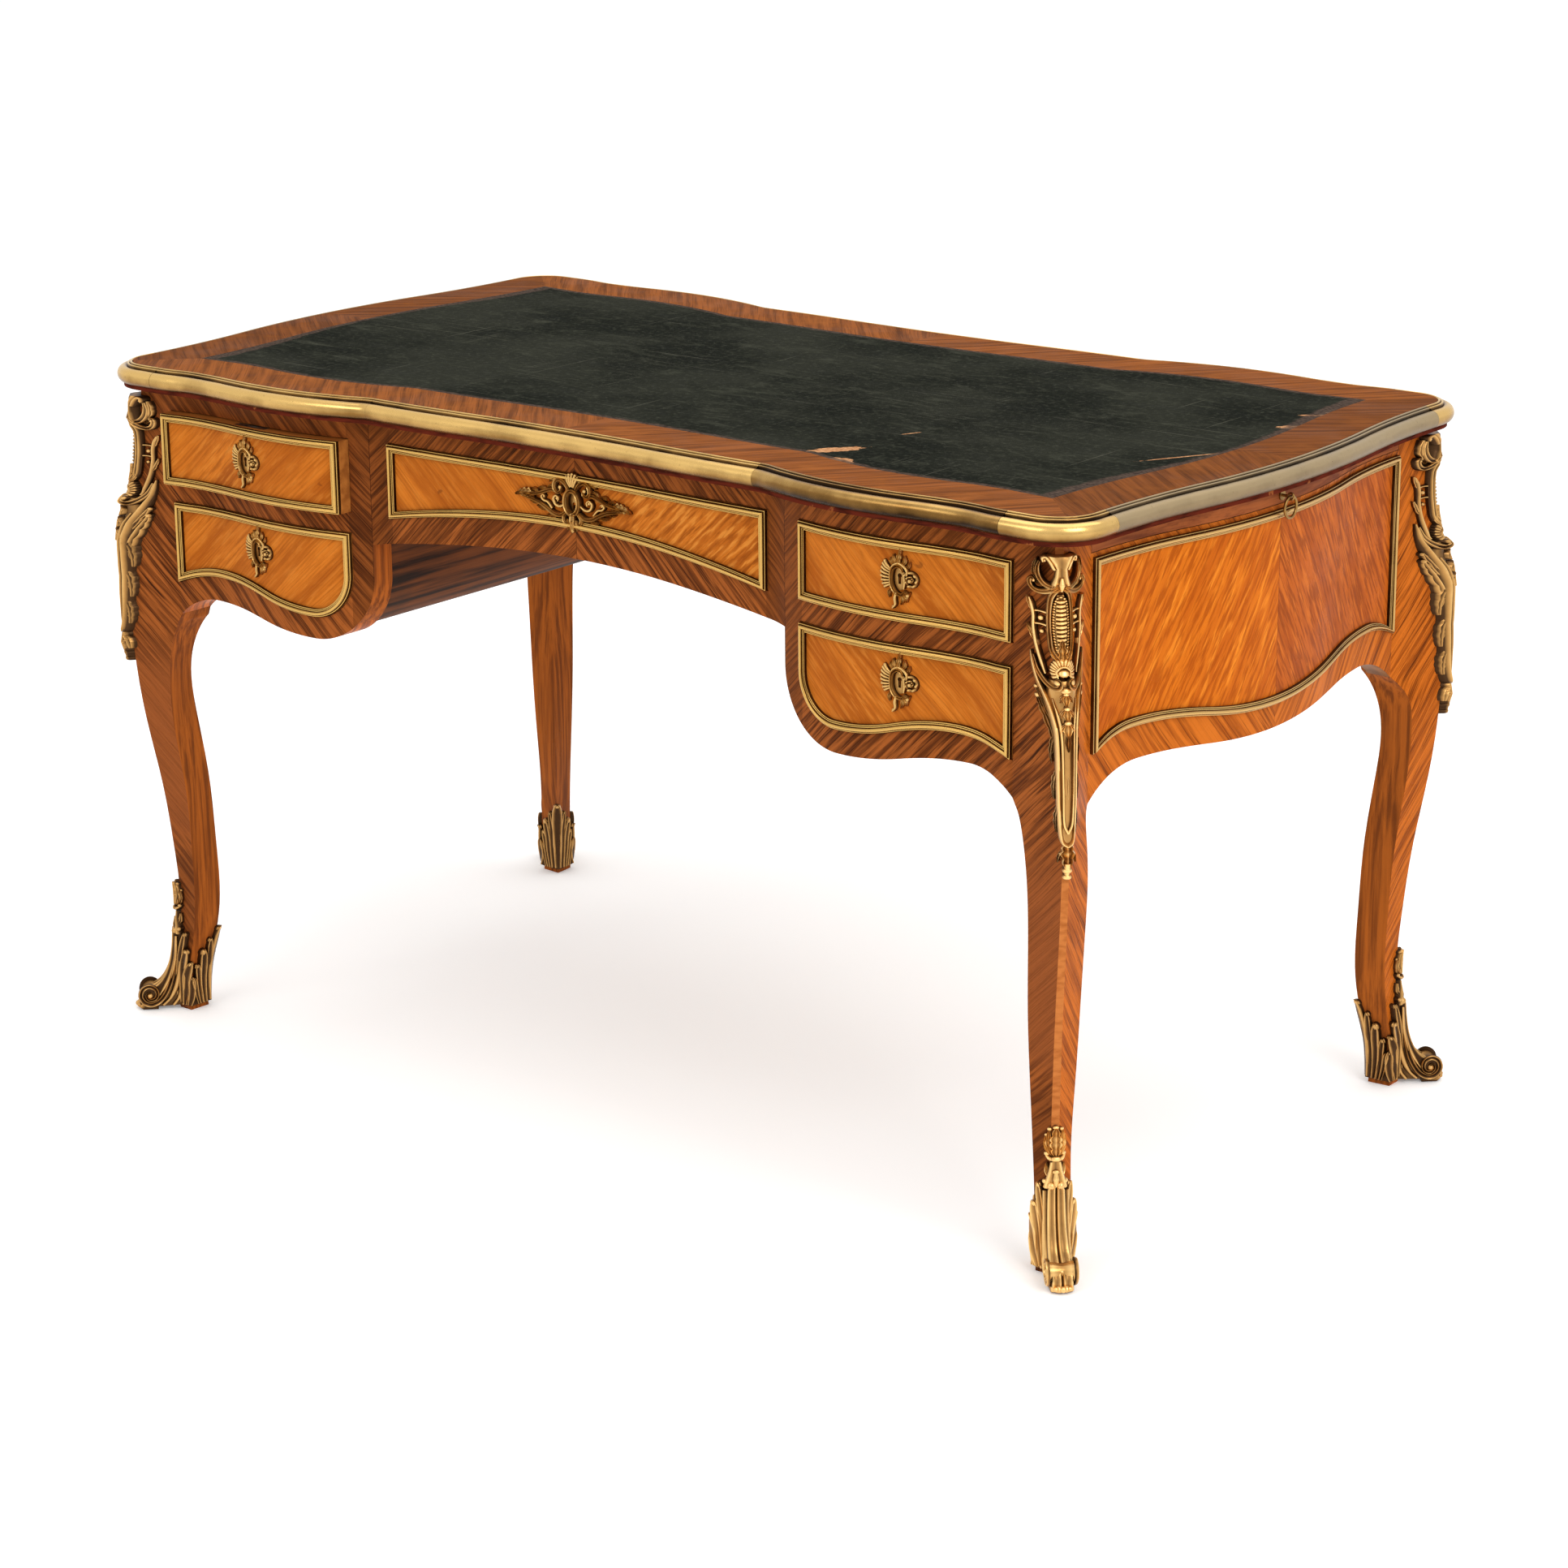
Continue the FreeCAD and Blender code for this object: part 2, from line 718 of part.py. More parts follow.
def frame(name, plane, offset, direction, skins, loop):
    """Stepped brass frame: a broad low band under a narrow proud one."""
    bands = []
    for level, width in (("low", s.frame_width), ("high", s.frame_width / 2)):
        outline = Outline("%s_%s_face" % (name, level), plane, offset)
        loop(outline, 0)
        loop(outline, width)
        ring = extrude(outline, direction, reach)
        bands.append(combine("Common", "%s_%s" % (name, level), skins[level], ring))
    return fuse(name, *bands)


side_frame = frame("side_frame", "YZ", side_inner, RIGHT, side_skins, side_loop)
piece("side_frames", group("frames_of_sides", side_frame, mirror("side_frame_left", side_frame, RIGHT)))

# Escutcheons: half the height and the outline as points round the keyhole, with the bend of
# each arc between them.
SMALL_PLATE = (
    (0, 31, 8, -1), (7, 22, 7, -1), (10, 12, 12, 1), (21, 3, 8, -1), (12, -10, 9, 1), (8, -20, 9, -1),
    (-2, -24, 12, 1), (-8, -31, 6, -1), (-10, -21, 8, 1), (-17, -10, 12, -1), (-21, 6, 15, -1),
    (-12, 17, 10, -1), (-7, 20, 6, 1), (0, 31, 9, -1),
)
LARGE_PLATE = (
    (0, 30, 9, -1), (8, 22, 9, -1), (20, 22, 9, -1), (28, 12, 10, -1), (40, 6, 12, 1), (58, 9, 30, -1),
    (78, 0, 26, -1), (66, -6, 20, -1), (46, -12, 24, -1), (30, -10, 14, 1), (24, -22, 10, -1),
    (10, -20, 10, 1), (0, -29, 14, -1),
)


def plate(name, middle, level, loop, skin, offset):
    """A cut brass plate lying on the serpentine face."""
    outline = Outline(name + "_face", "XZ", offset)
    x, z, radius, turn = loop[0]
    outline.start(middle + x, level + z)
    for x, z, radius, turn in loop[1:]:
        outline.arc(middle + x, level + z, radius, turn)
    if (x, z) != loop[0][:2]:
        outline.line(middle + loop[0][0], level + loop[0][1])
    return combine("Common", name, front_skins[skin], extrude(outline, FRONT, reach))


def key_cutter(name, middle, face, level):
    """Round pin hole with a slot below it, from in front of the face to behind the lock."""
    back = -(face - s.lock_setback - s.lock_thickness)
    pin = doc.addObject("Part::Cylinder", name + "_pin")
    pin.Placement.Rotation = Rotation(RIGHT, 90)
    bind(pin, "Radius", s.key_radius)
    bind(pin, "Height", s.lock_setback + s.lock_thickness + 20)
    bind(pin, "Placement.Base.x", middle)
    bind(pin, "Placement.Base.y", back)
    bind(pin, "Placement.Base.z", level)
    width = s.key_radius * 0.6
    front = back - s.lock_setback - s.lock_thickness - 20
    slot = box(name + "_slot", middle - width, middle + width, front, back, level - s.key_radius * 4, level)
    return fuse(name + "_keyhole", pin, slot)


mortises = {}


def drawer(name, middle, face, top, loop, plate_loop, thick, box_x, box_z):
    """One drawer: front, box, brass, lock and bolt, closed and seen from the front."""
    back = -(face - thick)
    lock_front = -(face - s.lock_setback)
    lock_back = lock_front + s.lock_thickness
    level = top - s.key_drop
    wide = s.lock_width / 2
    wood = saw_front(name + "_wood", loop(Outline(name + "_face", "XZ", back), 0))
    left, right = middle - wide, middle + wide
    lock_foot = top - s.lock_height
    pocket = box(name + "_lock_mortise", left, right, lock_front, lock_back, lock_foot, top + 5)
    keyhole = key_cutter(name, middle, face, level)
    front = combine("Cut", name + "_front_wood", wood, fuse(name + "_cuts", pocket, keyhole))

    case = box(name + "_case", left, right, lock_front, lock_back, lock_foot, top)
    half_bolt = s.bolt_width / 2
    bolt_front = lock_front + 2
    bolt_back = bolt_front + s.bolt_thickness
    bolt_foot = top - s.bolt_length
    play = s.running_gap
    left, right = middle - half_bolt, middle + half_bolt
    channel = box(
        name + "_channel", left - play, right + play, bolt_front - play, bolt_back + play,
        bolt_foot - play, top + 5)
    lock = combine("Cut", name + "_lock_case", case, fuse(name + "_lock_cuts", channel, keyhole))
    bolt = box(name + "_bolt_bar", left, right, bolt_front, bolt_back, bolt_foot, top - play)
    mortises[name] = box(
        name + "_rail_mortise", left - play, right + play, bolt_front - play, bolt_back + play, top,
        top + s.bolt_throw + 2)

    brass_frame = frame(name + "_frame", "XZ", back, FRONT, front_skins, loop)
    if plate_loop is SMALL_PLATE:
        blank = plate(name + "_plate", middle, level - 3, plate_loop, "low", back)
    else:
        blank = plate(name + "_plate", middle, level + 5.5, plate_loop, "over", back)
        blank = fuse(name + "_plate_pair", blank, mirror(name + "_plate_half", blank, RIGHT))
    plate_cuts = fuse(name + "_plate_cuts", keyhole, brass_frame)
    escutcheon = combine("Cut", name + "_escutcheon", blank, plate_cuts)

    x0, x1 = box_x
    z0, z1 = box_z
    in_left, in_right = x0 + s.box_side, x1 - s.box_side
    end = back + s.box_depth
    floor = z0 + 3
    boards = []
    groove = box(
        name + "_groove", in_left - s.groove_depth, in_right + s.groove_depth, back, end, floor,
        floor + s.box_bottom)
    for hand, low in (("left", x0), ("right", x1 - s.box_side)):
        side = box("%s_side_%s" % (name, hand), low, low + s.box_side, back, end, z0, z1)
        boards.append(combine("Cut", "%s_grooved_%s" % (name, hand), side, groove))
    boards.append(groove)
    boards.append(box(
        name + "_box_back", in_left, in_right, end - s.box_side, end, floor + s.box_bottom, z1))
    return {
        "front": front,
        "box": group(name + "_boards", *boards),
        "mounts": group(name + "_brass", brass_frame, escutcheon),
        "lock": lock,
        "bolt": bolt,
    }


pedestal_box = (drawer_in + 4, drawer_out - 4)
upper_sides = (upper_floor + 2, opening_top - 14)
lower_sides = (turn_level - 20, lower_top - 13)
centre_box = (-(s.centre_half_width - 6), s.centre_half_width - 6)
centre_sides = (upper_floor + s.arch_rise + 2, opening_top - 14)
upper = drawer(
    "upper", drawer_middle, crest_face, opening_top - s.drawer_gap, upper_drawer, SMALL_PLATE,
    s.front_thickness, pedestal_box, upper_sides)
lower = drawer(
    "lower", drawer_middle, crest_face, lower_top - s.drawer_gap, lower_drawer, SMALL_PLATE,
    s.front_thickness, pedestal_box, lower_sides)
middle_drawer = drawer(
    "centre", length(0), centre_face, opening_top - s.drawer_gap, centre_drawer, LARGE_PLATE,
    s.centre_front_thickness, centre_box, centre_sides)

for part, shape in middle_drawer.items():
    piece("centre_drawer_" + part, shape)
for tier, parts in (("upper", upper), ("lower", lower)):
    for part, shape in parts.items():
        piece("%s_right_drawer_%s" % (tier, part), shape)
        copy = mirror("%s_left_%s" % (tier, part), shape, RIGHT)
        if tier == "upper":
            # This drawer stands a little open.
            copy = group("upper_left_%s_open" % part, copy)
            bind(copy, "Placement.Base.y", -s.ajar)
        piece("%s_left_drawer_%s" % (tier, part), copy)

# Rails with the mortises that take the lock bolts.
rail_cuts = fuse(
    "rail_cuts", mortises["upper"], mirror("mortise_left", mortises["upper"], RIGHT), mortises["centre"])
piece("front_top_rail", combine("Cut", "top_rail_wood", rail, rail_cuts))
middle_cut = combine("Cut", "middle_rail_cut", middle_rail, mortises["lower"])
piece("pedestal_rails", group("middle_rails", middle_cut, mirror("middle_rail_left", middle_cut, RIGHT)))

# The sham drawers of the back carry the same brass frames.
sham = []
for name in ("upper_frame", "lower_frame"):
    sham.append(doc.getObject(name))
    sham.append(mirror(name + "_sham_left", doc.getObject(name), RIGHT))
sham.append(doc.getObject("centre_frame"))
piece("back_frames", mirror("sham_frames", group("sham_frame_set", *sham), FRONT))

# Inside of the pedestals.
wall = box("kneehole_wall", wall_in, wall_out, inner, wall_inner, turn_level, panel_top)
piece("kneehole_walls", group("walls", wall, mirror("kneehole_wall_left", wall, RIGHT)))

round_radius = s.turn_at - wall_in
bottom_low = turn_level - round_radius
bottom_top = bottom_low + s.bottom_thickness
runner_top = turn_level - 20 - s.running_gap
bottom_face = Outline("pedestal_bottom_face", "XZ", wall_inner).start(wall_in, turn_level)
bottom_face.arc(s.turn_at, bottom_low, round_radius, 1)
bottom_face.line(side_inner, bottom_low).line(side_inner, runner_top)
bottom_face.line(side_inner - 45, runner_top).line(side_inner - 45, bottom_top)
bottom_face.line(wall_out + 36, bottom_top).line(wall_out + 36, runner_top)
bottom_face.line(wall_out, runner_top).line(wall_out, turn_level).line(wall_in, turn_level)
bottom_board = extrude(bottom_face, FRONT, wall_inner * 2)

shelf = upper_floor + 2 - s.running_gap
shelf_foot = shelf - s.runner_height
guide_in = drawer_out - 4 + s.running_gap
runners = [
    box("runner_inner", wall_out, wall_out + s.runner_width, inner, wall_inner, shelf_foot, shelf),
    box("runner_outer", side_inner - 45, side_inner, -joint_y, joint_y, shelf_foot, shelf),
    box("guide_upper", guide_in, side_inner, -joint_y, joint_y, shelf, shelf + 20),
    box("guide_lower", guide_in, side_inner, -joint_y, joint_y, runner_top, runner_top + 20),
]
centre_shelf = upper_floor + s.arch_rise + 2 - s.running_gap
centre_start = s.centre_front_thickness - centre_face + s.running_gap
runners.append(box(
    "centre_runner", wall_in - 55, wall_in, centre_start, wall_inner, centre_shelf - 14, centre_shelf))
centre_guide = s.centre_half_width - 6 + s.running_gap
runners.append(box(
    "centre_guide", centre_guide, wall_in, centre_start, wall_inner, centre_shelf, centre_shelf + 20))
runners += [mirror(board.Name + "_left", board, RIGHT) for board in runners]
piece("drawer_runners", group("runners", *runners))

bearers = []
for row in (-1, 1):
    middle = length(210 * row)
    bearer = box(
        "bearer_%d" % (row + 2), wall_out, side_inner, middle - 20, middle + 20, panel_top - 9, panel_top)
    bearers += [bearer, mirror(bearer.Name + "_left", bearer, RIGHT)]
piece("slide_bearers", group("bearers", *bearers))

slide_end = wall_in - s.slide_tail
cross_out = slide_end - s.slide_stop
cross_in = cross_out - s.bearer_width
cross = box("cross_bearer", cross_in, cross_out, inner, wall_inner, opening_top, carcass_top)
piece("top_bearers", group("cross_bearers", cross, mirror("cross_bearer_left", cross, RIGHT)))

# Writing slides under the top, each with a ring hanging from a staple.
slide_half = joint_y - s.slide_gap
slide_plan = Outline("slide_plan", "XY", slide_floor).start(slide_end, -slide_half)
slide_plan.line(side_face, -slide_half)
follow_side(slide_plan, side_face, s.side_bow, slide_half, 1)
slide_plan.line(slide_end, slide_half).line(slide_end, -slide_half)
slide = piece("slide_right", extrude(slide_plan, UP, s.slide_thickness))
piece("slide_left", mirror("slide_l", slide, RIGHT))

slide_face = side_face + s.side_bow
eye_x = slide_face + s.frame_proud + s.eye_radius + 0.5
eye_z = slide_floor + s.slide_thickness / 2 - 2


def torus(name, major, minor, x, z, rotation):
    hoop = doc.addObject("Part::Torus", name)
    hoop.Placement.Rotation = rotation
    bind(hoop, "Radius1", major)
    bind(hoop, "Radius2", minor)
    bind(hoop, "Placement.Base.x", x)
    bind(hoop, "Placement.Base.z", z)
    return hoop


eye = torus("eye", s.eye_radius, s.eye_wire, eye_x, eye_z, Rotation(RIGHT, 90))
stem = doc.addObject("Part::Cylinder", "stem")
stem.Placement.Rotation = Rotation(Vector(0, 1, 0), 90)
bind(stem, "Radius", s.eye_wire * 1.4)
bind(stem, "Height", eye_x - s.eye_radius - slide_face + 0.3)
bind(stem, "Placement.Base.x", slide_face)
bind(stem, "Placement.Base.z", eye_z)
rose = doc.addObject("Part::Cylinder", "rose")
rose.Placement.Rotation = Rotation(Vector(0, 1, 0), 90)
bind(rose, "Radius", s.eye_radius * 1.6)
bind(rose, "Height", s.eye_wire * 1.5)
bind(rose, "Placement.Base.x", slide_face - 0.1)
bind(rose, "Placement.Base.z", eye_z)
staple = combine("Cut", "staple", fuse("staple_parts", eye, stem, rose), slide)
piece("slide_staple_right", staple)
piece("slide_staple_left", mirror("staple_left", staple, RIGHT))
hanging = Rotation(Vector(0, 1, 0), 90)
ring = torus("ring", s.ring_radius, s.ring_wire, eye_x, eye_z - s.ring_radius, hanging)
piece("slide_ring_right", ring)
piece("slide_ring_left", mirror("ring_left", ring, RIGHT))

# Legs. Each section of the shank: height, how far its outer corner swings out, the width of
# the front face and of the side face, how far each of them falls back, and the depth to the
# inner corner. The heights are shares of the height of the side's knee.
SHANK_HEIGHT = 481
SHANK = (
    (0, 3, 24, 24, 0, 0, 26),
    (50, 4.5, 26, 26, 0, 0, 30),
    (120, -1.5, 28, 28, 1, 1, 34.5),
    (200, 1.5, 34.5, 34.5, 2, 2, 38),
    (280, 8.3, 41.5, 41, 4, 4, 42),
    (360, 18.5, 46.5, 45.5, 6, 6, 45),
    (430, 24.5, 55, 49.5, 10, 9, 49),
    (456, 25.5, 60.5, 53.5, 12, 14, 55),
    (470, 25.5, 64.5, 61.5, 13.5, 20.5, 60),
)
# Above the knee only the outer corner moves: drop below the carcass top and its swing.
STILE_HEIGHT = 260.5
STILE = ((260.5, 25.5, 25.5), (233, 25.5, 25.5), (153, 17.5, 20.5), (73, 8, 15), (0, 3, 10.5))
inner_x = joint_x + 6
inner_y = joint_y + 6


def five_sided(name, body, level, corner, front_in, side_in, heart):
    """Leg section: two show faces with a narrow flat on their corner, two inner faces."""
    outline = Outline(name, "XY", level, body)
    x, y = corner
    front_x, front_y = front_in
    side_x, side_y = side_in
    slant_front = (y - front_y) / (x - front_x)
    slant_side = (x - side_x) / (y - side_y)
    flat_width = s.leg_chamfer
    outline.start(front_x, -front_y)
    outline.line(x - flat_width, -(y - slant_front * flat_width))
    outline.line(x - slant_side * flat_width, -(y - flat_width))
    outline.line(side_x, -side_y)
    outline.line(heart[0], -heart[1])
    outline.line(front_x, -front_y)
    return outline.sketch


def shank_sections(name, body, rows, skin, wrap):
    """Sections of the shank, grown by a skin on the show faces and a wrap on the inner ones."""
    sketches = []
    for height, swing, front, side, front_slant, side_slant, depth in rows:
        x, y = leg_x + swing + skin, leg_y + swing + skin
        grown = skin + wrap
        front_in = (x - grown - front, y - front_slant)
        side_in = (x - side_slant, y - grown - side)
        heart = (x - grown - depth, y - grown - depth)
        level = side_knee * (height / SHANK_HEIGHT)
        label = "%s_%d" % (name, height)
        sketches.append(five_sided(label, body, level, (x, y), front_in, side_in, heart))
    return sketches


def knee_section(name, body, skin):
    """Section where the side's lower edge ends on the leg."""
    swing = STILE[0][1]
    corner = (leg_x + swing + skin, leg_y + swing + skin)
    front_in = (joint_x + 6.5, shoulder_face + 0.8 + skin)
    side_in = (side_face + skin, joint_y)
    return five_sided(name, body, side_knee, corner, front_in, side_in, (inner_x + 2.5, inner_y + 2))


def stile_sections(name, body, rows, skin):
    sketches = []
    for drop, swing_x, swing_y in rows:
        corner = (leg_x + swing_x + skin, leg_y + swing_y + skin)
        front_in = (joint_x, shoulder_face + skin)
        side_in = (side_face + skin, joint_y)
        level = carcass_top - (carcass_top - front_knee) * (drop / STILE_HEIGHT)
        label = "%s_%d" % (name, drop)
        sketches.append(five_sided(label, body, level, corner, front_in, side_in, (inner_x, inner_y)))
    return sketches


def loft(name, body, sketches):
    result = body.newObject("PartDesign::AdditiveLoft", name)
    result.Profile = sketches[0]
    result.Sections = sketches[1:]
    return result


def leg_body(name, rows, skin, wrap):
    """The front right leg from its lowest row up, grown by a skin and a wrap."""
    body = doc.addObject("PartDesign::Body", name)
    shank = shank_sections(name + "_shank", body, rows, skin, wrap)
    shank.append(knee_section(name + "_shank_end", body, skin))
    loft(name + "_shank_solid", body, shank)
    knee = [knee_section(name + "_knee_foot", body, skin)]
    knee += stile_sections(name + "_knee_head", body, STILE[:1], skin)
    loft(name + "_knee_solid", body, knee)
    loft(name + "_stile_solid", body, stile_sections(name + "_stile", body, STILE, skin))
    return body


leg = leg_body("leg", SHANK, length(0), length(0))
leg_seat = leg_body("leg_seat", SHANK, s.seat_gap, s.seat_gap)


def four_corners(label, source):
    """The same piece at all four corners, the right and left ones of the front first."""
    left = mirror(label + "_left", source, RIGHT)
    back_right = mirror(label + "_back_right", source, FRONT)
    return [source, left, back_right, mirror(label + "_back_left", left, FRONT)]


legs = dict(zip(("front_right", "front_left", "back_right", "back_left"), four_corners("leg", leg)))
for place, shape in legs.items():
    piece("leg_" + place, shape)

# The pedestal bottoms are notched round the legs.
bottom_cuts = fuse("bottom_cuts", legs["front_right"], legs["back_right"])
bottom = combine("Cut", "pedestal_bottom", bottom_board, bottom_cuts)
piece("pedestal_bottoms", group("bottoms", bottom, mirror("pedestal_bottom_left", bottom, RIGHT)))

# Corner mounts: a skin over the leg's corner, cut to the outline seen along the diagonal.
# The outline is half the width and the height above the mount's foot, with each arc's
# radius and bend; a radius of 0 is a straight line.
MOUNT = (
    (4, 0, 0, 0), (6, 15, 0, 0), (11, 34, 40, 1), (16, 57, 0, 0), (19, 105, 200, 1), (20, 133, 0, 0),
    (26, 150, 20, 1), (20, 168, 0, 0), (27, 190, 40, -1), (29, 224, 0, 0), (27, 268, 60, 1),
    (30, 286, 12, -1), (14, 293, 14, 1), (24, 303, 12, 1), (20, 317, 10, 1), (8, 317, 8, -1),
)
mount_foot = carcass_top - s.mount_drop
mount_body = leg_body("mount_skin", SHANK[5:], s.mount_skin, length(0))
mount_face = Outline("mount_face", "XZ")
mount_face.start(-4, mount_foot).line(4, mount_foot)


def mount_step(across, up, radius, turn):
    if radius:
        mount_face.arc(across, mount_foot + up, radius, turn)
    else:
        mount_face.line(across, mount_foot + up)


for half_width, height, radius, turn in MOUNT[1:]:
    mount_step(half_width, height, radius, turn)
mount_face.line(-MOUNT[-1][0], mount_foot + MOUNT[-1][1])
for (half_width, height, _, _), (_, _, radius, turn) in zip(MOUNT[-2::-1], MOUNT[:0:-1]):
    mount_step(-half_width, height, radius, turn)
for sign in (-1, 1):
    window = mount_face.start(sign * 15, mount_foot + 195)
    window.line(sign * 23, mount_foot + 195).line(sign * 23, mount_foot + 270)
    window.line(sign * 16, mount_foot + 276).line(sign * 15, mount_foot + 195)


def turn_sketch(outline, across, back):
    """Stand a sketch upright on the front right leg's diagonal, some way behind its corner."""
    outline.sketch.Placement.Rotation = Rotation(across, UP, across.cross(UP), "XYZ")
    bind(outline.sketch, "Placement.Base.x", leg_x - back)
    bind(outline.sketch, "Placement.Base.y", length(back) - leg_y)


ACROSS = Vector(1, 1, 0).normalize()
OUTWARD = Vector(1, -1, 0).normalize()
turn_sketch(mount_face, ACROSS, 18)
mount_blank = combine("Common", "mount_blank", mount_body, extrude(mount_face, OUTWARD, 120))
mount = combine("Cut", "mount", mount_blank, leg_seat)
piece("corner_mounts", group("mounts", *four_corners("mount", mount)))

# Foot mounts: a leafy shoe round the end of the shank with a scrolled toe.
FOOT = (
    (6, 3.2, 24.2, 24.2, 0, 0, 26.5),
    (50, 4.5, 26, 26, 0, 0, 30),
    (120, -1.5, 28, 28, 1, 1, 34.5),
    (168, -0.6, 31.5, 31.5, 1.5, 1.5, 36.6),
)
SHOE = ((26, 45), (25, 72), (18, 96), (13, 86), (8, 108), (6, 126), (9, 142), (4, 160))
shoe_body = doc.addObject("PartDesign::Body", "shoe_body")
loft("shoe_skin", shoe_body, shank_sections("shoe", shoe_body, FOOT, s.foot_skin, s.foot_skin))
shoe_face = Outline("shoe_face", "XZ").start(-26, 4).line(26, 4)
for half_width, height in SHOE:
    shoe_face.line(half_width, height)
for half_width, height in SHOE[::-1]:
    shoe_face.line(-half_width, height)
shoe_face.line(-26, 4)
turn_sketch(shoe_face, ACROSS, 60)
shoe = combine("Common", "shoe", shoe_body, extrude(shoe_face, OUTWARD, 160))
toe_face = Outline("toe_face", "XZ").start(60, 5)
toe_face.line(92, 5).arc(104, 17, 12, 1).arc(94, 28.8, 12, 1)
toe_face.arc(75, 62, 46, -1).line(60, 62).line(60, 5)
turn_sketch(toe_face, OUTWARD, 60 / math.sqrt(2))
toe = extrude(toe_face, ACROSS, 26)
toe.Symmetric = True
sabot = combine("Cut", "sabot", fuse("shoe_and_toe", shoe, toe), leg_seat)
piece("sabots", group("foot_mounts", *four_corners("sabot", sabot)))

doc.recompute()
for item in doc.Objects:
    if "Invalid" in item.State or "Error" in item.State:
        raise RuntimeError("%s failed: %s" % (item.Name, item.State))
for item in pieces:
    if item.Shape.isNull() or not item.Shape.isValid() or not item.Shape.Solids:
        raise RuntimeError("%s has no sound solid" % item.Label)
os.makedirs("parts", exist_ok=True)
for item in pieces:
    item.Shape.exportStep(os.path.join("parts", item.Label + ".step"))
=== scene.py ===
import math
import bmesh
import bpy
import numpy as np
from mathutils import Matrix, Vector


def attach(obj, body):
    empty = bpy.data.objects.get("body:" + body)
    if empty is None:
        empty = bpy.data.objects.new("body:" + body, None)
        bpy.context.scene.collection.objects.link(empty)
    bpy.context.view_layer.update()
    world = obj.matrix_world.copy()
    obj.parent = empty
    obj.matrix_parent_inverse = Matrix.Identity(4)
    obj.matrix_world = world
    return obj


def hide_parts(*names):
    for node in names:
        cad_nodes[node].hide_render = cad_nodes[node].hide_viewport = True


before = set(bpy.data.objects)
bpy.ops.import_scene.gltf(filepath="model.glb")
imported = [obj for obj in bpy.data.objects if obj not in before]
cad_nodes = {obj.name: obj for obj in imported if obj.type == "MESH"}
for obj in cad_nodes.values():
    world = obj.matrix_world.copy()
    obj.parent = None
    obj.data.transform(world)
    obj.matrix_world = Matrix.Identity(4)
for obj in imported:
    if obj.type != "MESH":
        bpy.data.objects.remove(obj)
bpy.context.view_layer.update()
MM = 0.001


class Trail:
    """A flat path of lines and arcs, in millimetres."""

    def __init__(self, x, y):
        self.points = [np.array((x, y), float)]

    def line(self, x, y, steps=1):
        begin, end = self.points[-1], np.array((x, y), float)
        self.points += [begin + (end - begin) * n / steps for n in range(1, steps + 1)]
        return self

    def arc(self, x, y, radius, turn, steps=8):
        """The short arc to a point, bending left (turn 1) or right (turn -1)."""
        begin, end = self.points[-1], np.array((x, y), float)
        chord = end - begin
        half = np.linalg.norm(chord) / 2
        left = np.array((-chord[1], chord[0])) / (2 * half)
        centre = (begin + end) / 2 + left * math.sqrt(max(radius ** 2 - half ** 2, 0)) * turn
        start = math.atan2(begin[1] - centre[1], begin[0] - centre[0])
        sweep = 2 * math.asin(min(half / radius, 1)) * turn
        for n in range(1, steps + 1):
            angle = start + sweep * n / steps
            self.points.append(centre + radius * np.array((math.cos(angle), math.sin(angle))))
        return self

    def ogee(self, x, y, share=0.5, steps=10):
        """Two arcs in an S whose ends both run along the first axis."""
        begin = self.points[-1]
        run, rise = x - begin[0], y - begin[1]
        whole = (run ** 2 + rise ** 2) / (2 * abs(rise))
        turn = 1 if run * rise > 0 else -1
        self.arc(begin[0] + run * share, begin[1] + rise * share, whole * share, turn, steps)
        return self.arc(x, y, whole * (1 - share), -turn, steps)


# Plan, in millimetres: half of the top's front edge and half of a side face.
FACE_INSET = 12
FRONT_JOINT, FRONT_END = 268, 585
TOP_END, TOP_FRONT = 655, 357
half_front = Trail(0, 329).ogee(FRONT_JOINT, 336, 0.5, 14).ogee(415, 359, 0.114, 14)
half_front.ogee(530, 352).ogee(FRONT_END, TOP_FRONT)
FRONT_X, FRONT_DEPTH = np.array(half_front.points).T
half_side = Trail(-288, 633).ogee(0, 666, 0.5, 16)
SIDE_Y, SIDE_X = np.array(half_side.points).T


def front_depth(x):
    """How far the serpentine front lies before the middle line, at a place along it."""
    return np.interp(abs(x), FRONT_X, FRONT_DEPTH) - FACE_INSET


def side_reach(y):
    return np.interp(-abs(y), SIDE_Y, SIDE_X)


def on_front(x, z, proud):
    return (x, -(front_depth(x) + proud), z)


def on_side(y, z, proud):
    return (side_reach(y) + proud, y, z)


# Meshes. A shape is its points in millimetres, its faces and how bright each point is worn.
def placed(name, data):
    """A new object in the scene."""
    made = bpy.data.objects.new(name, data)
    bpy.context.scene.collection.objects.link(made)
    return made


def soften(mesh, sharp):
    """Turn the faces outwards and shade them smooth, but for edges sharper than an angle."""
    work = bmesh.new()
    work.from_mesh(mesh)
    bmesh.ops.recalc_face_normals(work, faces=work.faces)
    work.to_mesh(mesh)
    work.free()
    mesh.polygons.foreach_set("use_smooth", [True] * len(mesh.polygons))
    mesh.set_sharp_from_angle(angle=math.radians(sharp))


def set_relief(mesh, tones):
    layer = mesh.attributes.new("relief", "FLOAT", "POINT")
    layer.data.foreach_set("value", np.asarray(tones, np.float32))


def make_piece(name, shape, material, sharp=35):
    """A piece in its place."""
    points, faces, tones = shape
    mesh = bpy.data.meshes.new(name)
    mesh.from_pydata([tuple(float(c) * MM for c in p) for p in points], [], faces)
    mesh.validate()
    soften(mesh, sharp)
    set_relief(mesh, tones)
    mesh.materials.append(material)
    return placed(name, mesh)


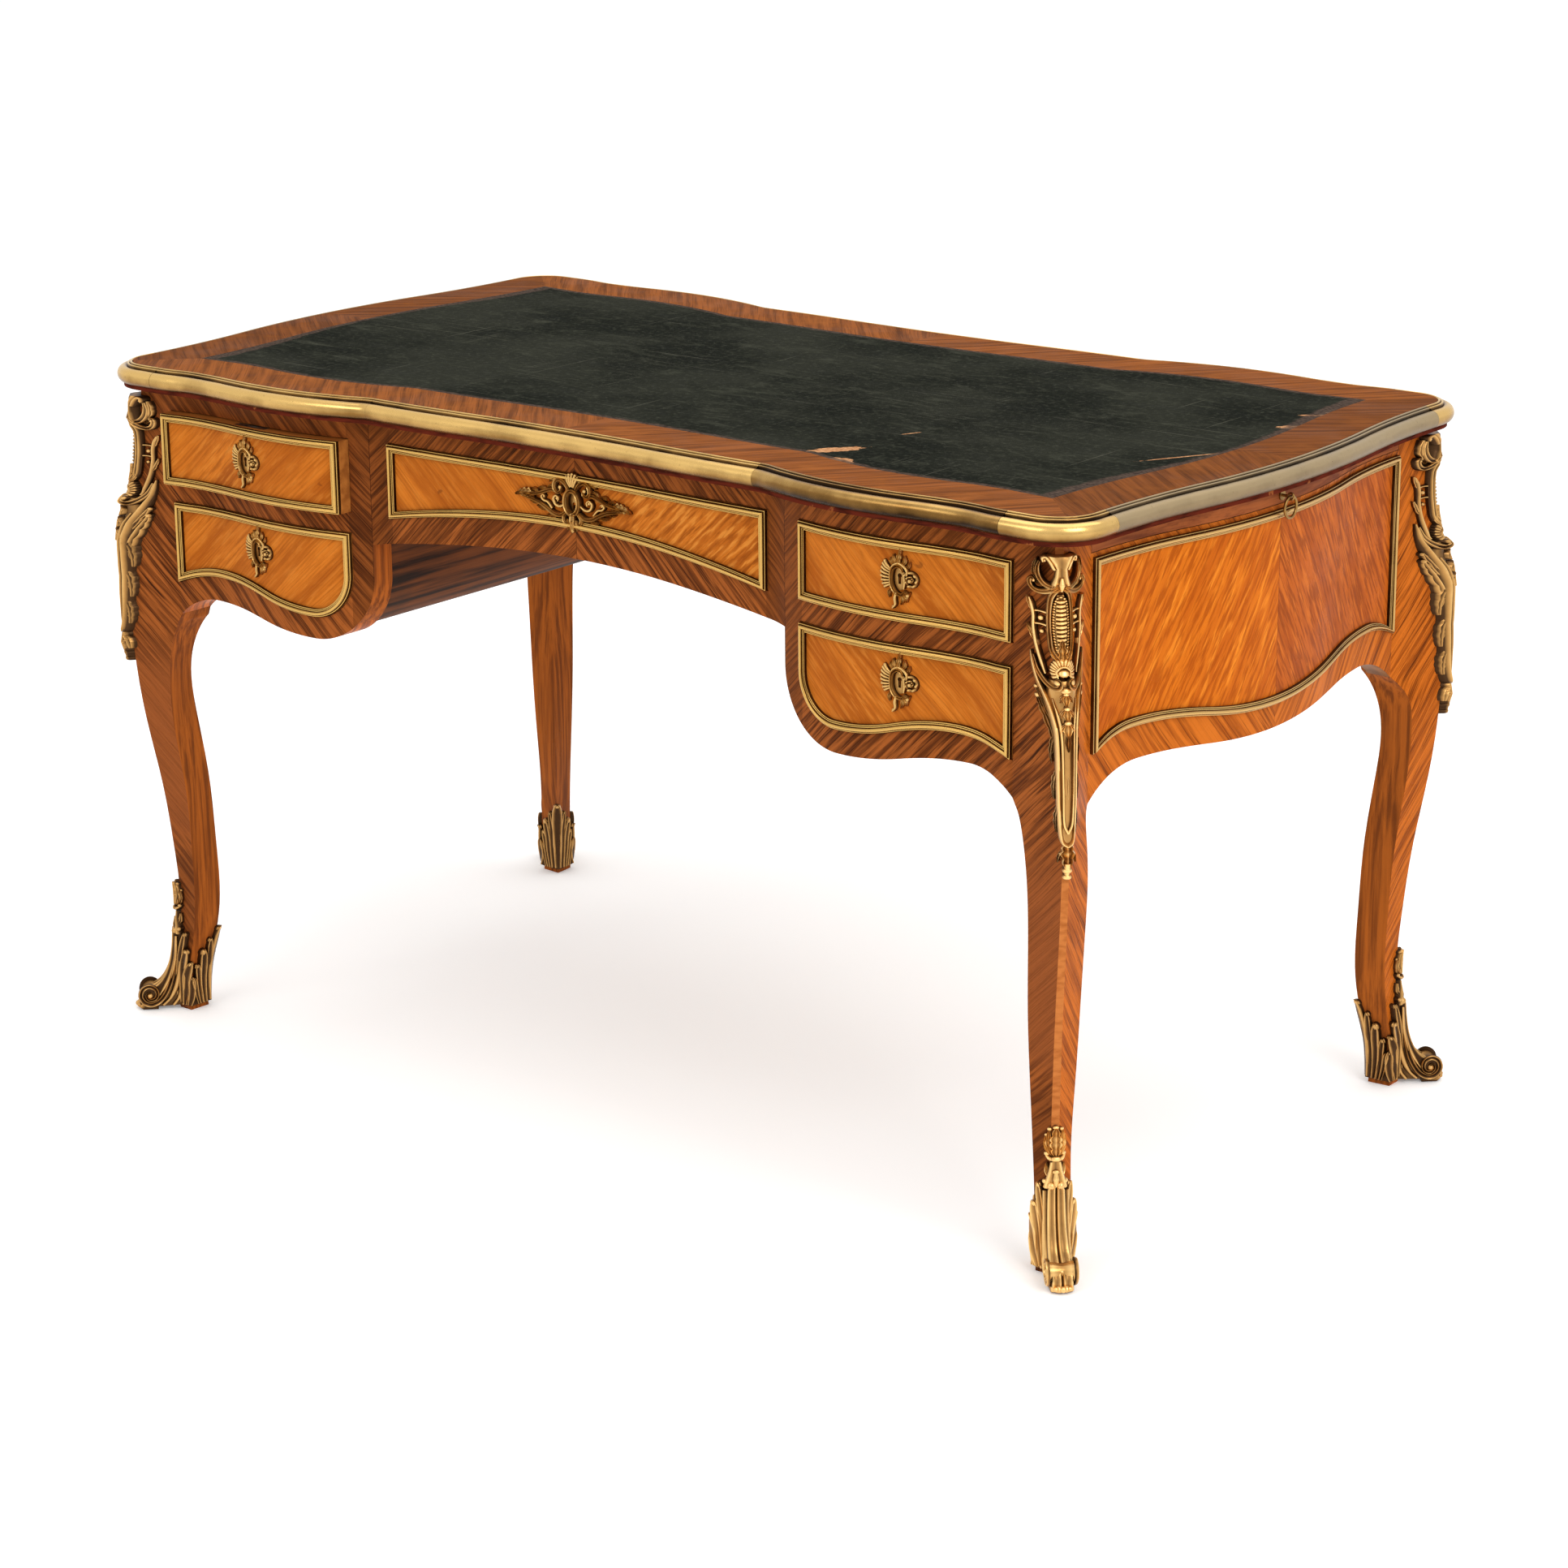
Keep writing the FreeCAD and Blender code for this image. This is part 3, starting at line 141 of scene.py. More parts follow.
def turned(shape, axes):
    """A shape turned over across each of the axes, 0 for X and 1 for Y."""
    points, faces, tones = shape
    for axis in axes:
        points = np.array(points, float)
        points[:, axis] *= -1
        faces = [face[::-1] for face in faces]
    return points, faces, tones


def joined(shapes):
    """Several shapes as one."""
    points, faces, tones = [], [], []
    for more_points, more_faces, more_tones in shapes:
        first = len(points)
        points += list(more_points)
        faces += [tuple(first + corner for corner in face) for face in more_faces]
        tones += more_tones
    return points, faces, tones


def give(piece, body, finish, *nodes):
    """Say which body a piece rides on and which CAD nodes it stands in for; the finish argument is not used.
    """
    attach(piece, body)
    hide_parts(*nodes)


# Node trees
class Finish:
    """A material's node tree, written one node at a time."""

    def __init__(self, name):
        self.material = bpy.data.materials.new(name)
        self.material.use_nodes = True
        self.tree = self.material.node_tree
        self.tree.nodes.clear()
        self.place = self.node("ShaderNodeTexCoord").outputs["Object"]
        self.x, self.y, self.z = self.parts(self.place)

    def put(self, socket, value):
        if isinstance(value, bpy.types.NodeSocket):
            self.tree.links.new(value, socket)
        else:
            socket.default_value = value

    def node(self, kind, settings=None, **inputs):
        made = self.tree.nodes.new(kind)
        for key, value in (settings or {}).items():
            setattr(made, key, value)
        for key, value in inputs.items():
            self.put(made.inputs[key.replace("_", " ")], value)
        return made

    def math(self, operation, *values):
        made = self.tree.nodes.new("ShaderNodeMath")
        made.operation = operation
        for socket, value in zip(made.inputs, values):
            self.put(socket, value)
        return made.outputs[0]

    def add(self, a, b):
        return self.math("ADD", a, b)

    def times(self, a, b):
        return self.math("MULTIPLY", a, b)

    def less(self, a, b):
        return self.math("SUBTRACT", a, b)

    def most(self, a, b):
        return self.math("MAXIMUM", a, b)

    def size(self, value):
        return self.math("ABSOLUTE", value)

    def sign(self, value):
        return self.math("SIGN", value)

    def over(self, value, low):
        """1 where a value is greater than another, else 0."""
        return self.math("GREATER_THAN", value, low)

    def under(self, value, high):
        """1 where a value is less than another, else 0."""
        return self.math("LESS_THAN", value, high)

    def parts(self, vector):
        return self.node("ShaderNodeSeparateXYZ", Vector=vector).outputs

    def normal(self):
        """The way the surface faces, along X, Y and Z."""
        return self.parts(self.node("ShaderNodeNewGeometry").outputs["True Normal"])

    def vector(self, x, y, z):
        return self.node("ShaderNodeCombineXYZ", X=x, Y=y, Z=z).outputs[0]

    def stretched(self, x, y, z):
        """The place on the piece, scaled along each axis."""
        return self.vector(self.times(self.x, x), self.times(self.y, y), self.times(self.z, z))

    def drawn(self, along, slow, across, quick, seed):
        """A place in a grain that changes slowly along it and quickly across it."""
        return self.vector(self.times(along, slow), self.times(across, quick), seed)

    def noise(self, vector, scale=1.0, detail=3.0, rough=0.5, twist=0.0):
        made = self.node("ShaderNodeTexNoise", Vector=vector, Scale=scale, Detail=detail, Roughness=rough,
                         Distortion=twist)
        return made.outputs["Fac"]

    def span(self, value, low, high, out_low=0.0, out_high=1.0):
        """A value stretched from one range to another and held at its ends."""
        made = self.node("ShaderNodeMapRange", {"interpolation_type": "SMOOTHSTEP"}, Value=value,
                         From_Min=low, From_Max=high, To_Min=out_low, To_Max=out_high)
        return made.outputs[0]

    def mix(self, share, first, second):
        """The first colour where share is 0, the second where it is 1."""
        made = self.node("ShaderNodeMix", {"data_type": "RGBA"})
        for number, value in ((0, share), (6, first), (7, second)):
            self.put(made.inputs[number], value)
        return made.outputs[2]

    def choose(self, share, first, second):
        """The first value where share is 0, the second where it is 1."""
        made = self.node("ShaderNodeMix", {"data_type": "FLOAT"})
        for number, value in ((0, share), (2, first), (3, second)):
            self.put(made.inputs[number], value)
        return made.outputs[0]

    def ramp(self, value, *stops):
        made = self.node("ShaderNodeValToRGB", Fac=value)
        ramp = made.color_ramp
        while len(ramp.elements) < len(stops):
            ramp.elements.new(0.5)
        for element, (position, colour) in zip(ramp.elements, stops):
            element.position = position
            element.color = colour
        return made.outputs["Color"]

    def curve(self, value, points):
        """A value read off a smooth line through points that run from 0 to 1 both ways."""
        made = self.node("ShaderNodeFloatCurve", Value=value)
        line = made.mapping.curves[0]
        line.points[0].location = points[0]
        line.points[1].location = points[-1]
        for x, y in points[1:-1]:
            line.points.new(x, y)
        made.mapping.update()
        return made.outputs[0]

    def bump(self, height, strength, distance):
        return self.node("ShaderNodeBump", Height=height, Strength=strength, Distance=distance).outputs[0]

    def surface(self, **inputs):
        shader = self.node("ShaderNodeBsdfPrincipled", **inputs)
        output = self.tree.nodes.new("ShaderNodeOutputMaterial")
        self.tree.links.new(shader.outputs[0], output.inputs["Surface"])
        return self.material

    def polished(self, colour, rough, bump, sheen=0.03):
        """Wood under an old polish: a low, warm sheen."""
        return self.surface(
            Base_Color=colour, Roughness=rough, Normal=bump, Specular_IOR_Level=sheen,
            Specular_Tint=(1.0, 0.62, 0.3, 1.0))


def shade(red, green, blue):
    """A colour given as it looks on a screen, 0 to 255."""
    def linear(part):
        part /= 255
        return part / 12.92 if part <= 0.04045 else ((part + 0.055) / 1.055) ** 2.4
    return (linear(red), linear(green), linear(blue), 1.0)


# Outlines of the brass frames, in millimetres, drawn in by an inset.
FRAME_TOP, UPPER_FOOT, LOWER_TOP = 729, 648, 624
PEDESTAL_NEAR, PEDESTAL_FAR = 315, 583
TURN_RADIUS, TURN_LEVEL = 52, 576
CREST, CREST_RISE, CREST_FALL = 515, 21, 14
CENTRE_HALF, CENTRE_FOOT, CENTRE_RISE = 264, 646, 25
SIDE_HALF, SIDE_FOOT, SIDE_TOP = 285, 524, 727
SIDE_CREST, SIDE_RISE, SIDE_FALL = 223, 21, 14


def upper_loop(inset):
    left, right = PEDESTAL_NEAR + inset, PEDESTAL_FAR - inset
    low, high = UPPER_FOOT + inset, FRAME_TOP - inset
    trail = Trail(left, low).line(right, low, 30).line(right, high, 4)
    return trail.line(left, high, 30).line(left, low, 4).points[:-1]


def lower_loop(inset):
    radius = TURN_RADIUS - inset
    turn = PEDESTAL_NEAR + TURN_RADIUS
    left, right, top = turn - radius, PEDESTAL_FAR - inset, LOWER_TOP - inset
    high = TURN_LEVEL - radius + CREST_RISE
    whole = PEDESTAL_FAR - CREST
    reach = whole - inset
    fall = CREST_FALL * reach ** 2 / whole ** 2
    trail = Trail(left, top).line(left, TURN_LEVEL, 4)
    trail.arc(turn, TURN_LEVEL - radius, radius, 1, 18).ogee(CREST, high, 0.5, 12)
    trail.arc(right, high - fall, (reach ** 2 + fall ** 2) / (2 * fall), -1, 12)
    return trail.line(right, top, 4).line(left, top, 30).points[:-1]


def centre_loop(inset):
    half, low, high = CENTRE_HALF - inset, CENTRE_FOOT + inset, FRAME_TOP - inset
    bow = (half ** 2 + CENTRE_RISE ** 2) / (2 * CENTRE_RISE)
    trail = Trail(-half, low).arc(0, low + CENTRE_RISE, bow, -1, 24).arc(half, low, bow, -1, 24)
    return trail.line(half, high, 4).line(-half, high, 48).line(-half, low, 4).points[:-1]


def side_loop(inset):
    half, low, high = SIDE_HALF - inset, SIDE_FOOT + inset, SIDE_TOP - inset
    crest = low + SIDE_RISE
    end = crest - SIDE_FALL
    bow = ((half - SIDE_CREST) ** 2 + SIDE_FALL ** 2) / (2 * SIDE_FALL)
    trail = Trail(-half, high).line(-half, end, 8).arc(-SIDE_CREST, crest, bow, -1, 10)
    trail.ogee(0, low, 0.5, 14).ogee(SIDE_CREST, crest, 0.5, 14).arc(half, end, bow, -1, 10)
    return trail.line(half, high, 8).line(-half, high, 48).points[:-1]


# Veneers
def slanted(f, along_face, up, lean, side):
    """Coordinates along and across a grain that leans by an angle, to the right where side is 1."""
    cos, sin = math.cos(math.radians(lean)), math.sin(math.radians(lean))
    tilt = f.times(side, sin)
    along = f.add(f.times(along_face, cos), f.times(up, tilt))
    across = f.less(f.times(up, cos), f.times(along_face, tilt))
    return along, across


def grain(f, along, across, seed, broad, fine):
    """Streaks of a straight-grained veneer: wide bands, fine lines and pores."""
    wander = f.add(f.noise(f.drawn(along, 5, across, 9, seed), 1, 2), -0.5)
    across = f.add(across, f.times(wander, 0.016))
    bands = f.noise(f.drawn(along, broad * 0.05, across, broad, seed), 1, 4, 0.55)
    lines = f.noise(f.drawn(along, fine * 0.014, across, fine, seed), 1, 3, 0.6)
    pores = f.noise(f.drawn(along, 130, across, 2200, seed), 1, 2, 0.5)
    return bands, lines, pores


RAIL_LEVEL = (LOWER_TOP + UPPER_FOOT) / 2 * MM


def golden(f, along, across, strong):
    """Golden veneer: soft bands and fine lines, with a ripple as strong as asked."""
    seed = f.times(f.over(f.z, RAIL_LEVEL), 2.3)
    bands, lines, pores = grain(f, along, across, seed, 40, 420)
    colour = f.mix(f.span(bands, 0.38, 0.64), shade(202, 114, 36), shade(170, 88, 24))
    colour = f.mix(f.span(lines, 0.44, 0.64, 0.0, 0.5), colour, shade(146, 72, 20))
    ripple = f.noise(f.drawn(along, 30, across, 190, 3.0), 1, 3)
    colour = f.mix(f.times(f.span(ripple, 0.50, 0.64, 0.0, 0.8), strong), colour, shade(218, 138, 56))
    colour = f.mix(f.times(f.span(ripple, 0.48, 0.36, 0.0, 0.8), strong), colour, shade(144, 72, 18))
    spot = f.noise(f.place, 42, 2, 0.5, 0.6)
    colour = f.mix(f.span(spot, 0.70, 0.78, 0.0, 0.5), colour, shade(96, 50, 22))
    colour = f.mix(f.span(pores, 0.58, 0.74, 0.0, 0.4), colour, shade(120, 62, 22))
    return colour, lines, pores


FRAME_MIDDLE = 4.5
SHAM_LOW = [(x * MM, z * MM) for x, z in lower_loop(FRAME_MIDDLE)[4:59:3]]
SHAM_ARCH = [(x * MM, z * MM) for x, z in centre_loop(FRAME_MIDDLE)[24:49:3]]
BACK_HALF = 0.2


def sham_fronts(f, out_x):
    """1 inside the brass frames of the back, where there are no drawers."""
    below_top = f.under(f.z, (FRAME_TOP - FRAME_MIDDLE) * MM)
    upper = f.times(f.over(f.z, (UPPER_FOOT + FRAME_MIDDLE) * MM), below_top)
    lower = f.times(f.over(f.z, f.curve(out_x, SHAM_LOW)), f.under(f.z, (LOWER_TOP - FRAME_MIDDLE) * MM))
    within = f.times(f.over(out_x, (PEDESTAL_NEAR + FRAME_MIDDLE) * MM),
                     f.under(out_x, (PEDESTAL_FAR - FRAME_MIDDLE) * MM))
    pedestal = f.times(f.most(upper, lower), within)
    centre = f.times(f.over(f.z, f.curve(out_x, SHAM_ARCH)), below_top)
    centre = f.times(centre, f.under(out_x, (CENTRE_HALF - FRAME_MIDDLE) * MM))
    return f.times(f.most(pedestal, centre), f.over(f.y, BACK_HALF))


# How calm the wood of a leg's front is, by height in metres.
LEG_CALM = [(0, 0), (0.16, 0), (0.2, 0.1), (0.24, 0.75), (0.31, 0.85), (0.38, 0.8), (0.45, 0.3), (0.52, 0),
            (1, 0)]
STILE_MIDDLE = (CENTRE_HALF + PEDESTAL_NEAR) / 2 * MM
STILE_NEAR, STILE_FAR = 0.262, 0.317
JOINT_HALF, MIDDLE_JOINT_HALF = 0.0004, 0.0003


def crossbanding():
    """Rosewood-like banding of the carcass and legs, laid on the slant and joined in chevrons."""
    f = Finish("crossbanding_veneer")
    normal_x, normal_y, normal_z = f.normal()
    across_x, across_y, across_z = f.size(normal_x), f.size(normal_y), f.size(normal_z)
    out_x = f.size(f.x)
    hand_x, hand_y = f.sign(f.x), f.sign(f.y)
    front_side = f.times(hand_x, f.math("MULTIPLY_ADD", f.over(out_x, STILE_MIDDLE), 2.0, -1.0))
    front_along, front_across = slanted(f, f.x, f.z, 44, front_side)
    side_along, side_across = slanted(f, f.y, f.z, 52, hand_y)
    to_side = f.over(across_x, across_y)
    to_front = f.less(1.0, to_side)
    along = f.choose(to_side, front_along, side_along)
    across = f.choose(to_side, front_across, side_across)
    seed = f.add(f.times(hand_x, 3.7), f.times(hand_y, 1.9))
    bands, lines, pores = grain(f, along, across, seed, 220, 820)
    # Here and in the streaks below, side faces are painted lighter and more orange than front faces: a lit
    # copy of the same banding.
    light = f.mix(to_side, shade(160, 87, 38), shade(202, 106, 32))
    dark = f.mix(to_side, shade(96, 48, 20), shade(156, 76, 20))
    colour = f.mix(f.span(bands, 0.38, 0.62), light, dark)
    streak = f.times(f.span(lines, 0.52, 0.60), f.span(bands, 0.40, 0.55, 0.35, 1.0))
    streak = f.times(streak, f.span(f.z, 0.1, 0.5, 0.5, 0.85))
    colour = f.mix(streak, colour, f.mix(to_side, shade(42, 20, 10), shade(86, 38, 12)))
    # Painted shade on the stiles beside the kneehole, and darker towards the feet; calmer wood down the front
    # of each leg.
    stile = f.times(f.over(out_x, STILE_NEAR), f.under(out_x, STILE_FAR))
    low = f.times(f.most(stile, f.span(f.z, 0.21, 0.18)), to_front)
    colour = f.mix(f.times(low, 0.4), colour, shade(62, 30, 14))
    quiet = f.mix(f.span(lines, 0.4, 0.65), shade(146, 80, 41), shade(128, 68, 33))
    colour = f.mix(f.times(f.curve(f.z, LEG_CALM), to_front), colour, quiet)
    tone = f.noise(f.place, 7, 2)
    colour = f.mix(f.span(tone, 0.35, 0.7, 0.0, 0.4), colour, f.mix(0.5, colour, light))
    colour = f.mix(f.span(pores, 0.60, 0.74, 0.0, 0.4), colour, shade(46, 24, 14))
    # Golden sham fronts at the back.
    gold_along, gold_across = slanted(f, f.x, f.z, 42, f.times(front_side, -1.0))
    gold = golden(f, gold_along, gold_across, 0.4)[0]
    colour = f.mix(f.times(sham_fronts(f, out_x), to_front), colour, gold)
    # Plain darker wood on the inner faces of the legs, its grain along them.
    outward = f.add(f.times(normal_x, hand_x), f.times(normal_y, hand_y))
    inner = f.times(f.under(outward, -0.3), f.under(across_z, 0.7))
    stripe = f.noise(f.stretched(170, 170, 5), 1, 4, 0.6)
    plain = f.mix(f.span(stripe, 0.36, 0.66), shade(172, 92, 34), shade(116, 60, 26))
    colour = f.mix(inner, colour, plain)
    # A strip of paler wood on the chamfer of each leg.
    off_corner = f.size(f.less(across_x, across_y))
    strip = f.times(f.under(off_corner, 0.34), f.under(across_z, 0.6))
    strip = f.times(strip, f.over(outward, 1.0))
    strip_grain = f.noise(f.stretched(60, 60, 160), 1, 3)
    strip_colour = f.mix(f.span(strip_grain, 0.35, 0.7), shade(196, 118, 60), shade(168, 94, 44))
    colour = f.mix(strip, colour, strip_colour)
    # Joint lines where the chevrons meet.
    stile_joint = f.under(f.size(f.add(out_x, -STILE_MIDDLE)), JOINT_HALF)
    front_joint = f.times(f.most(stile_joint, f.under(out_x, MIDDLE_JOINT_HALF)), to_front)
    side_joint = f.times(f.under(f.size(f.y), JOINT_HALF), to_side)
    colour = f.mix(f.times(f.most(front_joint, side_joint), 0.7), colour, shade(50, 24, 14))
    rough = f.span(f.noise(f.place, 30, 3), 0.3, 0.7, 0.26, 0.38)
    bump = f.bump(f.add(f.times(pores, 0.6), f.times(lines, 0.4)), 0.12, 0.0006)
    return f.polished(colour, rough, bump)


def drawer_veneer(name, flip_middle):
    """Golden veneer of the drawer fronts, fine lines on the slant; plain wood behind."""
    f = Finish(name)
    hand = f.sign(f.x)
    side = hand if flip_middle else f.times(hand, -1.0)
    along, across = slanted(f, f.x, f.z, 42, side)
    if flip_middle:
        strong = f.span(f.x, -0.02, 0.08, 0.25, 1.0)
    else:
        strong = f.span(f.noise(f.place, 9, 1), 0.4, 0.7, 0.25, 0.6)
    colour, lines, pores = golden(f, along, across, strong)
    inner_lines = f.noise(f.stretched(7, 90, 90), 1, 4)
    inner = f.mix(f.span(inner_lines, 0.35, 0.7), shade(182, 112, 50), shade(146, 84, 36))
    face = f.over(f.size(f.normal()[1]), 0.7)
    colour = f.mix(face, inner, colour)
    rough = f.span(f.noise(f.place, 24, 3), 0.3, 0.7, 0.28, 0.4)
    bump = f.bump(f.add(f.times(pores, 0.5), f.times(lines, 0.5)), 0.1, 0.0006)
    return f.polished(colour, rough, bump)


def side_veneer():
    """Side panels: a book-matched panel inside the brass frame, crossbanding outside it."""
    f = Finish("side_panel_veneer")
    off = f.size(f.y)
    rise = f.times(f.span(off, 0.0, SIDE_CREST * MM), SIDE_RISE * MM)
    past = f.most(f.add(off, -SIDE_CREST * MM), 0.0)
    fall = f.times(f.times(past, past), SIDE_FALL / MM / (SIDE_HALF - SIDE_CREST) ** 2)
    low = f.less(f.add(rise, (SIDE_FOOT + FRAME_MIDDLE) * MM), fall)
    inside = f.times(f.over(f.z, low), f.under(f.z, (SIDE_TOP - FRAME_MIDDLE) * MM))
    inside = f.times(inside, f.under(off, (SIDE_HALF - FRAME_MIDDLE) * MM))
    hand = f.sign(f.y)
    # Panel figure, with pale streaks of painted sheen.
    along, across = slanted(f, f.y, f.z, 58, f.times(hand, -1.0))
    bands, lines, pores = grain(f, along, across, 4.0, 44, 520)
    near = f.under(f.times(f.y, f.sign(f.x)), 0.0)

    def by_half(far_colour, near_colour):
        return f.mix(near, far_colour, near_colour)

    panel = f.mix(f.span(bands, 0.40, 0.62, 0.0, 0.7), by_half(shade(190, 94, 28), shade(212, 112, 26)),
                  by_half(shade(156, 70, 20), shade(184, 86, 18)))
    # Pale streaks of painted sheen.
    sheen = f.noise(f.drawn(along, 20, across, 120, 7.0), 1, 2, 0.5, 0.4)
    panel = f.mix(f.span(sheen, 0.50, 0.68, 0.0, 0.65), panel,
                  by_half(shade(214, 114, 38), shade(240, 142, 42)))
    mottle = f.noise(f.drawn(along, 24, across, 230, 2.0), 1, 3, 0.6)
    panel = f.mix(f.span(mottle, 0.45, 0.60, 0.0, 0.8), panel,
                  by_half(shade(138, 62, 17), shade(164, 74, 12)))
    panel = f.mix(f.span(lines, 0.52, 0.76, 0.0, 0.3), panel, shade(150, 70, 24))
    seam = f.under(off, JOINT_HALF)
    panel = f.mix(f.times(seam, 0.6), panel, shade(90, 40, 16))
    # Banding.
    edge_along, edge_across = slanted(f, f.y, f.z, 50, hand)
    edge_bands, edge_lines = grain(f, edge_along, edge_across, 9.0, 150, 460)[:2]
    band = f.mix(f.span(edge_bands, 0.38, 0.62), shade(206, 110, 34), shade(166, 82, 22))
    streak = f.times(f.span(edge_lines, 0.53, 0.62), f.span(edge_bands, 0.42, 0.56, 0.2, 1.0))
    band = f.mix(f.times(streak, 0.8), band, shade(92, 42, 14))
    colour = f.mix(inside, band, panel)
    colour = f.mix(f.span(pores, 0.60, 0.76, 0.0, 0.3), colour, shade(110, 54, 18))
    back = f.noise(f.stretched(40, 6, 60), 1, 4)
    plain = f.mix(f.span(back, 0.35, 0.7), shade(150, 100, 58), shade(108, 68, 38))
    colour = f.mix(f.over(f.size(f.normal()[0]), 0.6), plain, colour)
    rough = f.span(f.noise(f.place, 24, 3), 0.3, 0.7, 0.26, 0.38)
    bump = f.bump(f.add(f.times(pores, 0.5), f.times(lines, 0.5)), 0.1, 0.0006)
    return f.polished(colour, rough, bump)


MITRE_START = (TOP_END - TOP_FRONT) * MM
FILLET_TOP = 0.7645


def border_veneer():
    """Worn brown border of the top, mitred at its corners, and the stained fillet under the brass."""
    f = Finish("top_border_veneer")
    at_end = f.over(f.size(f.x), f.add(f.size(f.y), MITRE_START))
    front_along, front_across = slanted(f, f.x, f.y, 50, f.sign(f.x))
    end_along, end_across = slanted(f, f.y, f.x, 50, f.sign(f.y))
    along = f.choose(at_end, front_along, end_along)
    across = f.choose(at_end, front_across, end_across)
    bands, lines, pores = grain(f, along, across, 6.0, 120, 700)
    colour = f.mix(f.span(bands, 0.36, 0.68), shade(144, 82, 38), shade(104, 58, 27))
    colour = f.mix(f.span(lines, 0.5, 0.7, 0.0, 0.6), colour, shade(56, 30, 15))
    wear = f.noise(f.place, 16, 4, 0.6)
    colour = f.mix(f.span(wear, 0.5, 0.75, 0.0, 0.5), colour, shade(160, 96, 50))
    # Painted shade: the end borders darker.
    colour = f.mix(f.times(at_end, 0.3), colour, shade(56, 30, 15))
    stain = f.noise(f.stretched(40, 40, 240), 1, 3)
    fillet = f.mix(f.span(stain, 0.4, 0.7), shade(98, 38, 24), shade(62, 25, 17))
    chip = f.noise(f.place, 55, 3, 0.6)
    fillet = f.mix(f.span(chip, 0.66, 0.72, 0.0, 0.7), fillet, shade(164, 96, 52))
    colour = f.mix(f.under(f.z, FILLET_TOP), colour, fillet)
    rough = f.span(wear, 0.3, 0.7, 0.3, 0.5)
    bump = f.bump(f.add(f.times(pores, 0.5), f.times(lines, 0.5)), 0.15, 0.0006)
    return f.polished(colour, rough, bump, 0.002)


def inside_wood(name, pale, deep):
    """Plain wood of the boxes, runners, walls and slides, its grain along the depth of the desk."""
    f = Finish(name)
    rings = f.noise(f.stretched(130, 5, 130), 1, 4, 0.55)
    lines = f.noise(f.stretched(700, 14, 700), 1, 3)
    colour = f.mix(f.span(rings, 0.35, 0.7), pale, deep)
    colour = f.mix(f.span(lines, 0.5, 0.75, 0.0, 0.45), colour, f.mix(0.5, deep, (0.02, 0.012, 0.006, 1)))
    dirt = f.noise(f.place, 9, 4, 0.6)
    colour = f.mix(f.span(dirt, 0.5, 0.78, 0.0, 0.5), colour, f.mix(0.6, deep, (0.03, 0.02, 0.012, 1)))
    bump = f.bump(lines, 0.15, 0.0005)
    return f.surface(Base_Color=colour, Roughness=0.62, Normal=bump, Specular_IOR_Level=0.12)


LEATHER_BORDER = 66
LEATHER_FRONT = [(x * MM, (np.interp(x, FRONT_X, FRONT_DEPTH) - LEATHER_BORDER) * MM)
                 for x in range(0, 651, 25)]
LEATHER_SIDE = [(y * MM, (np.interp(-y, SIDE_Y, SIDE_X) + FACE_INSET - LEATHER_BORDER) * MM)
                for y in range(0, 301, 25)]
# Torn places: where, half their length and width, all in metres, and their turn in degrees.
TEARS = ((0.288, -0.243, 0.033, 0.010, 53), (0.324, -0.279, 0.016, 0.011, -20),
         (0.602, 0.126, 0.017, 0.009, 39), (0.589, 0.190, 0.017, 0.005, 39),
         (0.603, 0.217, 0.016, 0.006, 39), (0.588, -0.062, 0.050, 0.0018, 60.6),
         (0.303, -0.134, 0.012, 0.0014, 65))


